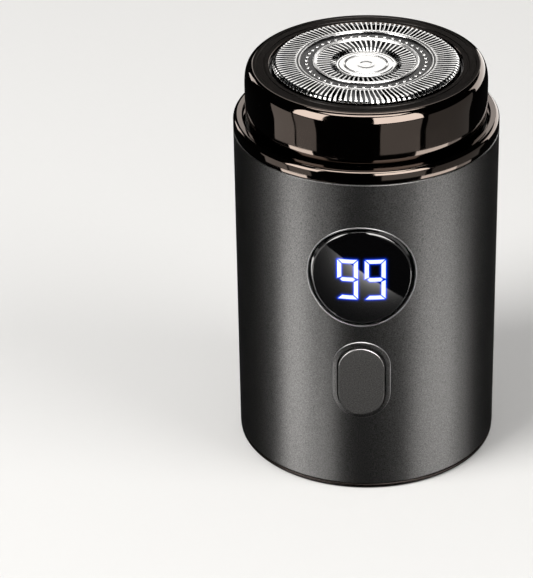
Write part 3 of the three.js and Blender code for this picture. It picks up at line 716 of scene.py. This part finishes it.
def make_socket():
    """The charging socket: a moulded surround, a folded steel shell and its contact tongue."""
    def level(*sections):
        return [[(x, y, PORT_Z + z) for x, z in stadium(w, h)] for w, h, y in sections]
    w, h = PORT_W + 0.4, PORT_H + 0.4
    surround = loft("port_surround", level(
        (w, h, 18.8), (w, h, 20.8), (w + 0.3, h + 0.3, 20.98), (11.7, 5.7, 21), (12, 6, 20.85),
        (12, 6, 19.45), (13.4, 7.4, 19.45), (13.4, 7.4, 18.8)), closed=True)
    finish_piece(surround, "black_plastic", "housing", ["port_insert"])
    back, front = PORT_LOW.y / MM, PORT_HIGH.y / MM
    wall = 0.32
    w, h = PORT_W - 2 * wall, PORT_H - 2 * wall
    shell = loft("port_shell", level(
        (w, h, back + 1), (w, h, front - 0.1), (w + 0.15, h + 0.15, front),
        (PORT_W - 0.12, PORT_H - 0.12, front), (PORT_W, PORT_H, front - 0.1), (PORT_W, PORT_H, back),
    ), cap_ends=True)
    finish_piece(shell, "spring_steel", "housing", ["usb_port_shell"])
    low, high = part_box("usb_port_tongue")
    tongue = block("port_tongue", low / MM, high / MM, edge=0.12)
    finish_piece(tongue, "black_plastic", "housing", ["usb_port_tongue"])
    count, first_x, pitch, half = 12, -2.75, 0.5, 0.13
    tip = high.y / MM
    contacts = joined("port_contacts", [
        block("contact", (x - half, tip - 3.6, side - 0.04), (x + half, tip - 0.5, side + 0.03), 0.02)
        for x in [first_x + pitch * i for i in range(count)] for side in (low.z / MM, high.z / MM)])
    finish_piece(contacts, "brass", "housing")


# ---- Deck under the head ----

DECK_CIRCLE_R = 15.4
DECK_FACE = 56.6
TOWER_R, DECK_BORE_R = 4.6, 3.1
PIN_R, PIN_TOP = 1.2, 58.6


def around(angles, r=DECK_CIRCLE_R):
    return [(r * cos(radians(a)), r * sin(radians(a))) for a in angles]


SCREW_SPOTS = around((90, 210, 330))
MAGNET_SPOTS = around((30, 150, 270))
PIN_SPOTS = around((0, 180))


def make_deck():
    """The moulded deck: a central tower for the drive, magnet pockets, screw sinks and two locating pins."""
    low, face = 54, DECK_FACE
    seal_r, seal_low, seal_high = DECK_R - 1.1, 54.6, 55.8
    deck = revolve("drive_deck_moulded", softened([
        (DECK_BORE_R, low), (DECK_R, low), (DECK_R, seal_low), (seal_r, seal_low), (seal_r, seal_high),
        (DECK_R, seal_high), (DECK_R, face, 0.2), (19.2, face, 0.1), (19.1, face - 0.2, 0.1),
        (18.5, face - 0.2, 0.1), (18.4, face, 0.1), (9.4, face, 0.1), (9.3, face - 0.25, 0.1),
        (TOWER_R + 1.2, face - 0.25, 0.1), (TOWER_R, face + 0.4, 0.3), (TOWER_R - 0.1, DECK_TOP, 0.25),
        (DECK_BORE_R, DECK_TOP, 0.1),
    ]), steps=180)
    magnet_floor, screw_floor, above = 55.1, 55.3, 58
    boolean(deck, [cylinder("tool", 2.7, magnet_floor, above, spot) for spot in MAGNET_SPOTS]
            + [cylinder("tool", 2.0, screw_floor, above, spot, 48) for spot in SCREW_SPOTS])
    finish_piece(deck, "black_plastic", "housing", ["drive_deck"])
    pin = softened([(0, face - 0.4), (PIN_R, face - 0.4), (PIN_R, PIN_TOP, 0.5), (0, PIN_TOP)])
    pins = joined("locating_pins", [revolve("pin", pin, 48, spot, closed=False) for spot in PIN_SPOTS])
    finish_piece(pins, "black_plastic", "housing")


def make_screw(name, spot, node):
    """A cross-head screw with a crowned head."""
    _, low, high = size_of(node)
    shank_r, head_r, head_low = 0.75, 1.7, high - 0.8
    screw = revolve(name, softened([
        (0, low), (0.5, low), (shank_r, low + 0.4), (shank_r, head_low), (head_r, head_low, 0.1),
        (head_r, high - 0.25, 0.15), (1.1, high, 0.3), (0, high),
    ]), 48, spot, closed=False)
    x, y = spot
    boolean(screw, [block("tool", (x - a, y - b, high - 0.45), (x + a, y + b, high + 1))
                    for a, b in ((0.95, 0.17), (0.17, 0.95))])
    finish_piece(screw, "screw_steel", "housing", [node])


def make_deck_parts():
    for i, spot in enumerate(SCREW_SPOTS):
        make_screw(f"deck_screw_head_{i + 1}", spot, f"deck_screw_{i + 1}")
    for i, spot in enumerate(MAGNET_SPOTS):
        _, low, high = size_of(f"deck_magnet_{i + 1}")
        magnet = cylinder(f"deck_magnet_disc_{i + 1}", 2.4, low, high, spot, 64, edge=0.2)
        finish_piece(magnet, "magnet_nickel", "housing", [f"deck_magnet_{i + 1}"])
    _, low, high = size_of("shaft_seal")
    seal = revolve("shaft_seal_lip", softened([
        (2.7, low), (4.4, low, 0.1), (4.4, high - 0.4, 0.25), (3.3, high, 0.2), (2.7, high - 0.1, 0.1),
    ]), 96)
    finish_piece(seal, "rubber", "housing", ["shaft_seal"])


FLOAT_ROOM = 0.85  # the foil, the cutter and the coupling sink by a little less than this


def make_coupling_spring():
    """The coil spring under the coupling, drawn pressed together so that the sinking coupling clears it."""
    r, low, high = size_of("coupling_spring")
    wire, turns, steps, sides = 0.22, 5, 24, 8
    climb = high - FLOAT_ROOM - low - 2 * wire
    loops = []
    for i in range(turns * steps + 1):
        turn = 2 * pi * i / steps
        z = low + wire + climb * i / (turns * steps)
        loop = []
        for side in range(sides):
            around_wire = 2 * pi * side / sides
            out = r - wire + wire * cos(around_wire)
            loop.append((out * cos(turn), out * sin(turn), z + wire * sin(around_wire)))
        loops.append(loop)
    coil = loft("coupling_spring_coil", loops, cap_ends=True, sharp=80)
    finish_piece(coil, "spring_steel", "motor_rotor", ["coupling_spring"])


def make_coupling():
    """A round sleeve that turns into a hexagonal driving tip with a chamfered end."""
    _, low, high = size_of("drive_coupling")
    shoulder, bore_top, steps = 60.9, 58.2, 72
    sleeve_r, bore_r, corner_r = 2.5, 1.15, 3.4 / sqrt(3)
    sixth = pi / 3

    def loop(z, blend, scale=1.0):
        points = []
        for i in range(steps):
            angle = 2 * pi * i / steps
            offset = (angle % sixth) - pi / 6
            hexagon = corner_r * cos(pi / 6) / cos(offset)
            r = (sleeve_r * (1 - blend) + hexagon * blend) * scale
            points.append((r * cos(angle), r * sin(angle), z))
        return points

    def bore(z):
        return [(x, y, z) for x, y in circle_loop(bore_r, steps)]
    loops = [bore(bore_top), bore(low), loop(low, 0), loop(shoulder - 0.15, 0), loop(shoulder, 0, 0.95),
             loop(shoulder, 1), loop(high - 0.5, 1), loop(high, 1, 0.8)]
    coupling = loft("drive_coupling_tip", loops, cap_ends=True)
    finish_piece(coupling, "grey_plastic", "coupling", ["drive_coupling"])


# ---- Head ----

CAP_LIP = 60.5
CAP_BORE_R = 18.4
WINDOW_R = 15.9


def cap_wall():
    """The cap's outer side: it flares a little to its lip and rolls over softly into the top."""
    flare, flare_top, roll_low, roll = 0.1, 62.4, 65.0, 1.9
    points = []
    for i in range(9):
        t = 1 - i / 8
        points.append((CAP_R - flare * t ** 2.5, flare_top - (flare_top - CAP_LIP) * t))
    for i in range(27):
        t = sin(pi / 2 * i / 26) ** 0.8
        points.append((CAP_R - roll + roll * (1 - t ** 3) ** (1 / 3), roll_low + (CAP_HIGH - roll_low) * t))
    return points


def make_cap():
    """The plated cap: its bore, a mirror wall with a rolled rim, and a satin top with a step and a groove."""
    top = CAP_HIGH
    step, groove, under = top - 0.1, top - 0.22, top - 1

    def on_top(r, centre, _):
        return centre.z > top - 0.6 and WINDOW_R + 0.12 < r < 18.52
    inside = softened([
        (18.0, top, 0.03), (17.95, step, 0.03), (16.9, step, 0.03), (16.85, groove, 0.03),
        (16.65, groove, 0.03), (16.6, step, 0.03), (WINDOW_R, step, 0.15), (WINDOW_R, under),
        (CAP_BORE_R, under), (CAP_BORE_R, CAP_LOW), (19.5, CAP_LOW, 0.2), (19.5, CAP_LIP, 0.05),
    ])
    cap = revolve("head_cap_plated", inside + cap_wall(), steps=256, sharp=40)
    finish_piece(cap, "black_chrome", "head", ["head_cap"])
    repaint(cap, "satin_black", on_top)


def make_head_base():
    """The ring under the head that carries the keeper, and the keeper itself."""
    def pin_holes(low, high):
        return [cylinder("tool", PIN_R + 0.3, low, high, spot, 48) for spot in PIN_SPOTS]
    _, low, high = size_of("head_base")
    ledge = low + 1.4
    ring = revolve("head_base_moulded", softened([
        (12.4, low, 0.2), (13.1, low, 0.1), (13.1, ledge), (17.7, ledge), (17.7, low, 0.1), (18.1, low, 0.1),
        (18.1, high, 0.1), (12.4, high, 0.5),
    ]), 180)
    boolean(ring, pin_holes(low - 1, PIN_TOP + 0.5))
    finish_piece(ring, "black_plastic", "head", ["head_base"])
    _, low, high = size_of("keeper_ring")
    keeper = revolve("keeper_ring_steel", softened([
        (13.4, low, 0.12), (17.4, low, 0.12), (17.4, high), (13.4, high)]), 180)
    boolean(keeper, pin_holes(56, 60))
    finish_piece(keeper, "foil_steel", "head", ["keeper_ring"])


def make_wave_spring():
    """The wave spring, drawn pressed together so that the sinking frame clears it."""
    _, low, high = size_of("float_spring")
    high -= FLOAT_ROOM
    inner, outer, half, steps = 15, 16.9, 0.12, 180
    middle, swing = (low + high) / 2, (high - low) / 2 - half
    loops = []
    for r, dz in ((inner, -half), (outer, -half), (outer, half), (inner, half)):
        loops.append([(x, y, middle + dz + swing * cos(6 * pi * i / steps))
                      for i, (x, y) in enumerate(circle_loop(r, steps))])
    spring = loft("float_spring_wave", loops, closed=True, sharp=60)
    finish_piece(spring, "spring_steel", "head", ["float_spring"])


# ---- Cutting unit ----

OUTER_SLOTS, DOTS = 110, 44
GRID = 6  # grid lines in one outer pitch; an inner pitch is two outer ones
SKEW = radians(8)
FOIL_R, SHEET = 15.3, 0.12
GROOVE_IN, GROOVE_OUT, GROOVE_DEPTH = 8.84, 10.78, 0.34
OUTER_START = 11.58
INNER_SLOTS_FROM, INNER_SLOTS_TO = 4.84, 8.14


def foil_outline():
    """The foil's upper side from its flange to its centre, as (r, z) rows."""
    top = FOIL_HIGH
    floor = top - GROOVE_DEPTH

    def dropped(*pairs):
        return [(r, top - drop) for r, drop in pairs]
    flange = FOIL_LOW + 0.5
    rows = [(FLANGE_R, flange), (FOIL_R + 0.25, flange), (FOIL_R, FOIL_LOW + 0.75), (FOIL_R, top - 0.85)]
    rows += arc(FOIL_R - 0.7, top - 0.7, 0.7, 0, 90, 10)
    rows += [(r, top) for r in steps_down(14.45, 11.6, 19)]
    rows += dropped((11.5, -0.02), (11.42, 0), (11.38, 0.06), (11.08, 0.06), (11.04, 0))
    rows += dropped((10.96, -0.02), (10.88, 0.01), (10.84, 0.1))
    rows += [(10.8, floor + 0.04)]
    rows += [(r, floor) for r in steps_down(GROOVE_OUT - 0.04, GROOVE_IN, 8)]
    rows += [(8.8, floor + 0.04), (8.77, top - 0.16)]
    rows += arc(8.5, top - 0.2, 0.26, 30, 150, 8)
    rows += dropped((8.24, 0.16), (8.2, 0.27))
    rows += [(r, top - 0.3 - 0.06 * (8.14 - r)) for r in steps_down(8.14, 6.0, 12)]
    rows += dropped((5.75, 0.5), (5.45, 0.61), (5.15, 0.72), (4.85, 0.83), (4.67, 0.87))
    rows += dropped((4.55, 0.84), (4.45, 0.78), (4.35, 0.76), (4.1, 0.75), (3.8, 0.75), (3.65, 0.78))
    rows += dropped((3.5, 0.84), (3.35, 0.78), (3.2, 0.75), (2.9, 0.75), (2.2, 0.74), (1.6, 0.74))
    rows += dropped((1.4, 0.78), (1.2, 0.8), (1.0, 0.78), (0.8, 0.72), (0.5, 0.68), (0.2, 0.67))
    return rows


def steps_down(start, end, count):
    return [start + (end - start) * i / count for i in range(count + 1)]


def swirl(r, inner, outer):
    """How far a slot has leaned from the radius by the time it reaches r."""
    middle = (inner + outer) / 2
    return tan(SKEW) * (min(max(r, inner), outer) - middle) / middle


def lean(r):
    """The lean of the slots in the two bands; the rings between them have none."""
    if r > 11.55:
        return swirl(r, 12, FOIL_R)
    return swirl(r, 4.8, 8.14) if 4.4 < r < 8.22 else 0


def pitch_lines(r, z):
    """Where the six grid lines of one outer pitch lie at this row: the ribs widen over the foil's edge."""
    over_edge = min(1, max(0, (r - 13.7) / 0.9)) if z > FOIL_HIGH - 0.01 else float(r > 12)
    half = 0.385 - 0.1 * over_edge
    step = 0.09 - 0.02 * over_edge
    return 0, 0.5 - half, 0.5 - half + step, 0.5, 0.5 + half - step, 0.5 + half


def make_foil():
    """The stamped foil: two bands of through slots, a sunk groove between rings, and a plain ringed disc."""
    rows = foil_outline()
    columns = OUTER_SLOTS * GRID
    vertices = []
    for r, z in rows:
        turn = lean(r)
        at_row = pitch_lines(r, z)
        for j in range(columns):
            angle = 2 * pi * (j // GRID + at_row[j % GRID]) / OUTER_SLOTS + turn
            vertices.append((r * cos(angle), r * sin(angle), z))
    faces = []
    for i in range(len(rows) - 1):
        r = (rows[i][0] + rows[i + 1][0]) / 2
        z = (rows[i][1] + rows[i + 1][1]) / 2
        a, b = i * columns, (i + 1) * columns
        for j in range(columns):
            if not foil_is_open(r, z, j):
                k = (j + 1) % columns
                faces.append((a + j, a + k, b + k, b + j))
    vertices.append((0, 0, FOIL_HIGH - 0.67))
    last = (len(rows) - 1) * columns
    faces += [(last + j, last + (j + 1) % columns, len(vertices) - 1) for j in range(columns)]
    foil = new_piece("foil_slotted", vertices, faces, sharp=60)
    solidify = foil.modifiers.new("thickness", "SOLIDIFY")
    solidify.thickness = SHEET * MM
    solidify.offset = -1
    apply_modifiers(foil)
    foil.data.set_sharp_from_angle(angle=radians(40))
    finish_piece(foil, "foil_steel", "cutting_unit", ["foil"])
    # Painted shade: the groove, the slot walls and the underside of the edge get near-black steel.
    repaint(foil, "painted_shade_steel", foil_is_painted_shade)
    repaint(foil, "foil_crest", foil_is_crest)


def foil_is_open(r, z, column):
    """True where a slot leaves the foil without metal. Slots narrow at their ends."""
    if OUTER_START < r and z > FOIL_HIGH - 0.62:
        part = column % GRID
        return 2 <= part <= 3 if r < 11.8 else 1 <= part <= 4
    if INNER_SLOTS_FROM < r < INNER_SLOTS_TO:
        part = column % (2 * GRID)
        if r < 5.1 or r > 7.95:
            return 3 <= part <= 7
        return (2 if r < 5.8 else 1) <= part <= 8
    return False


def foil_is_painted_shade(r, centre, normal):
    """True where the foil is coloured near black as painted shade: in the groove, below its edge and inside
    the slots.
    """
    upward = normal.z
    if r > OUTER_START:
        return centre.z < FOIL_HIGH - 0.8 or (upward < 0.5 and r < 14.4)
    if 11.1 < r < 11.36:
        return centre.z < FOIL_HIGH - 0.03
    if GROOVE_IN - 0.06 < r < GROOVE_OUT + 0.07:
        return centre.z < FOIL_HIGH - 0.08
    return upward < 0.5 and r < 8.2


def foil_is_crest(r, centre, normal):
    """True on top of the three rings that border the groove."""
    on_ring = 8.2 < r < 8.78 or 10.86 < r < 11.08 or 11.38 < r < 11.56
    return on_ring and normal.z > 0.2 and not foil_is_painted_shade(r, centre, normal)


def make_foil_dots():
    """The ring of small pierced dots in the groove."""
    floor = FOIL_HIGH - GROOVE_DEPTH
    outline = [(r, floor + rise)
               for r, rise in ((0.1, -0.02), (0.12, 0.1), (0.18, 0.14), (0.25, 0.1), (0.3, -0.02))]
    spots = around([360 * i / DOTS for i in range(DOTS)], (GROOVE_IN + GROOVE_OUT) / 2)
    dots = joined("foil_dots", [revolve("dot", outline, 20, spot, sharp=80) for spot in spots])
    finish_piece(dots, "foil_steel", "cutting_unit")


def make_foil_frame():
    """The ring that holds the foil, with four spokes that keep the cutter in."""
    _, low, high = size_of("foil_frame")
    web, spokes = 1.3, 4
    ring = revolve("frame_ring", softened([
        (14.9, low, 0.1), (17.3, low, 0.3), (17.3, high, 0.1), (14.9, high, 0.1)]), 180)
    hub = revolve("frame_hub", softened([
        (3.9, low, 0.2), (5.3, low, 0.2), (5.3, low + web, 0.1), (3.9, low + web, 0.1)]), 96)
    parts = [ring, hub]
    for i in range(spokes):
        spoke = block("spoke", (5.0, -web, low + 0.02), (15.1, web, low + web - 0.02), edge=0.25)
        spoke.data.transform(Matrix.Rotation(pi / 2 * i, 4, "Z"))
        parts.append(spoke)
    finish_piece(joined("foil_frame_moulded", parts), "black_plastic", "cutting_unit", ["foil_frame"])


def make_cutter():
    """The stamped cutter: a pierced disc with upright blades in two rings, on a moulded hub. It is coloured
    dark as painted shade, so that the foil's slots show black.
    """
    low = size_of("cutter_blades")[1]
    plate_r, plate_top = 14.6, low + 0.5
    plate = revolve("plate", softened([
        (0, low), (plate_r, low, 0.1), (plate_r, plate_top, 0.1), (0, plate_top)]), 144, closed=False)
    boolean(plate, [cylinder("tool", 2, low - 1, plate_top + 1, spot, 48)
                    for spot in around(range(0, 360, 60), 9.6)])
    blades = []
    for count, inner, outer, top, tilt in ((18, 12.1, 14.5, 68.9, 0), (9, 5.4, 7.5, 68.2, 20)):
        for i in range(count):
            blade = block("blade", (inner, -0.22, plate_top - 0.1), (outer, 0.22, top), edge=0.06)
            blade.data.transform(Matrix.Rotation(radians(360 * i / count + tilt), 4, "Z"))
            blades.append(blade)
    cutter = joined("cutter_stamped", [plate, *blades])
    # Painted shade: the cutter gets dark steel so that it stands for the shade under the foil.
    finish_piece(cutter, "dark_steel", "cutter", ["cutter_blades"])
    _, low, high = size_of("cutter_hub")
    neck_r, neck_low, hub_r = 2.3, 65.8, 3.4
    hub = revolve("cutter_hub_moulded", softened([
        (0, neck_low), (neck_r, neck_low), (neck_r, low, 0.1), (hub_r, low, 0.3), (hub_r, high, 0.1),
        (0, high),
    ]), 96, closed=False)
    finish_piece(hub, "grey_plastic", "cutter", ["cutter_hub"])


# ---- Carried-over CAD nodes ----

def finish_cad_nodes():
    """Every CAD node that still shows gets the procedural finish of its slot."""
    slots = {row["node"]: row["material_slot"] for row in frame["record"]["subparts"]}
    for name, obj in frame["nodes"].items():
        material = MATERIALS.get(slots.get(name))
        if material is None:
            continue
        if not obj.material_slots:
            obj.data.materials.append(material)
        for holder in obj.material_slots:
            holder.material = material


# ---- Stage, light and camera ----

def matt_material(name, rgb):
    material = new_material(name)
    shader = material.node_tree.nodes["Principled BSDF"]
    shader.inputs["Base Color"].default_value = (*rgb, 1)
    shader.inputs["Roughness"].default_value = 0.9
    shader.inputs["Specular IOR Level"].default_value = 0.1
    return material


def card_material(name, radiance):
    """A plain glow that lights nothing by itself: only what mirrors the card shows it."""
    material = new_material(name)
    tree = material.node_tree
    tree.nodes.remove(tree.nodes["Principled BSDF"])
    glow = tree.nodes.new("ShaderNodeEmission")
    glow.inputs["Color"].default_value = (1.0, 0.98, 0.95, 1)
    glow.inputs["Strength"].default_value = radiance
    tree.links.new(glow.outputs[0], tree.nodes["Material Output"].inputs["Surface"])
    material.cycles.emission_sampling = "NONE"
    return material


def plane(name, corners, material):
    mesh = bpy.data.meshes.new(name)
    mesh.from_pydata(corners, [], [(0, 1, 2, 3)])
    obj = placed(name, mesh)
    mesh.materials.append(material)
    return obj


def make_floor():
    half = 6.0
    floor = plane("floor", [(-half, -half, 0), (half, -half, 0), (half, half, 0), (-half, half, 0)],
                  matt_material("pale_floor", (0.72, 0.71, 0.69)))
    floor.visible_glossy = False


def make_card(name, azimuths, heights, radiance, distance=0.6):
    """A curved card, seen only in reflections. Azimuth 0 is in front of the shaver, and +90 on its right."""
    start, end = [radians(a) for a in azimuths]
    low, high = heights
    degrees_per_step = 6
    steps = max(2, int(abs(azimuths[1] - azimuths[0]) / degrees_per_step))
    mesh = bpy.data.meshes.new(name)
    points = []
    for i in range(steps + 1):
        angle = start + (end - start) * i / steps
        x, y = distance * sin(angle), -distance * cos(angle)
        points += [(x, y, low), (x, y, high)]
    mesh.from_pydata(points, [], [(2 * i, 2 * i + 2, 2 * i + 3, 2 * i + 1) for i in range(steps)])
    mesh.materials.append(card_material(name, radiance))
    show_only_in_reflections(placed(name, mesh))


def show_only_in_reflections(card):
    card.visible_camera = False
    card.visible_diffuse = False
    card.visible_shadow = False
    card.visible_transmission = False


def make_overhead_card(name, low, high, z, radiance):
    """A level card between two (x, y) corners."""
    corners = [(low[0], low[1], z), (high[0], low[1], z), (high[0], high[1], z), (low[0], high[1], z)]
    show_only_in_reflections(plane(name, corners, card_material(name, radiance)))


def make_light(name, location, size, power, target=(0, 0, 0.03)):
    data = bpy.data.lights.new(name, "AREA")
    data.shape = "DISK"
    data.size = size
    data.energy = power
    light = placed(name, data)
    light.location = location
    light.rotation_euler = (Vector(target) - Vector(location)).to_track_quat("-Z", "Y").to_euler()
    light.visible_glossy = False


def make_world():
    """Pale soft light all round, but dark in reflections, so that the plating stays dark."""
    world = bpy.data.worlds.new("studio")
    bpy.context.scene.world = world
    world.use_nodes = True
    nodes, links = world.node_tree.nodes, world.node_tree.links
    background = nodes["Background"]
    path = nodes.new("ShaderNodeLightPath")
    mix = nodes.new("ShaderNodeMix")
    mix.data_type = "RGBA"
    colours = [socket for socket in mix.inputs if socket.type == "RGBA"]
    colours[0].default_value = (0.75, 0.75, 0.76, 1)
    colours[1].default_value = (0.012, 0.012, 0.012, 1)
    links.new(path.outputs["Is Glossy Ray"], mix.inputs["Factor"])
    result = next(socket for socket in mix.outputs if socket.type == "RGBA")
    links.new(result, background.inputs["Color"])
    background.inputs["Strength"].default_value = 0.5


def make_lights():
    make_world()
    make_light("key", (-0.5, -0.35, 0.8), 0.5, 9)
    make_light("fill", (0.7, -0.3, 0.6), 0.6, 4)
    strip = (-0.25, 0.03)
    below = (-0.43, -0.34)
    beside = (-0.41, -0.256)
    above = (0.06, 0.6)
    make_card("left_strip", (-93, -68), strip, 0.95)
    make_card("left_inner_strip", (-66, -45), strip, 0.72)
    make_card("right_strip", (15, 53), strip, 0.65)
    make_card("right_side_strip", (59, 114), (-0.25, 0.11), 0.3)
    make_card("left_below", (-54, -26), below, 7)
    make_card("left_beside", (-76, -50), beside, 7)
    make_card("right_below", (42, 50), below, 6)
    make_card("right_beside", (50, 86), beside, 5.2)
    make_card("right_far", (86, 104), beside, 1.5)
    make_card("left_above", (-66, -37), above, 9)
    make_card("right_above", (9, 54), above, 9)
    make_card("rear_right", (120, 166), (0.0, 0.36), 3.5)
    make_card("rear_top", (168, 198), (0.27, 0.8), 1.75)
    make_card("left_edge_strip", (-142, -130), (0.12, 0.36), 4)
    make_overhead_card("overhead_rear", (-0.3, 0.25), (0.26, 0.46), 0.9, 6)
    make_overhead_card("overhead_front", (-0.45, -0.56), (0.45, -0.2), 0.9, 9)


def make_camera():
    """Looks down on the front from 30 degrees, with the shaver right of the middle of the frame."""
    azimuth, elevation, distance = radians(2), radians(30), 0.4773
    right, down = radians(2.05), radians(0.16)
    spot = Vector((0, 0, 0.0247))
    data = bpy.data.cameras.new("camera")
    data.lens, data.sensor_width = 173.3, 36
    data.clip_start, data.clip_end = 0.01, 50
    camera = placed("camera", data)
    level = cos(elevation)
    away = Vector((sin(azimuth) * level, -cos(azimuth) * level, sin(elevation)))
    camera.location = spot + away * distance
    camera.rotation_mode = "QUATERNION"
    in_world = axes_from(-away, Vector((0, 0, 1)))
    in_camera = axes_from(Vector((tan(right), -tan(down), -1)), Vector((0, 1, 0)))
    camera.rotation_quaternion = (in_world @ in_camera.transposed()).to_quaternion()
    bpy.context.scene.camera = camera


def axes_from(sight, upward):
    """A frame whose first axis is the line of sight and whose second lies square to it and to upward."""
    first = sight.normalized()
    second = first.cross(upward).normalized()
    return Matrix((first, second, first.cross(second))).transposed()


make_camera()
make_lights()
make_floor()
bpy.context.scene.view_settings.view_transform = "Standard"

make_barrel()
make_base()
make_collar()
make_lens()
make_digits()
make_bezel()
make_button()
make_button_bezel()
make_socket()
make_deck()
make_deck_parts()
make_coupling_spring()
make_coupling()
make_cap()
make_head_base()
make_wave_spring()
make_foil()
make_foil_dots()
make_foil_frame()
make_cutter()
finish_cad_nodes()
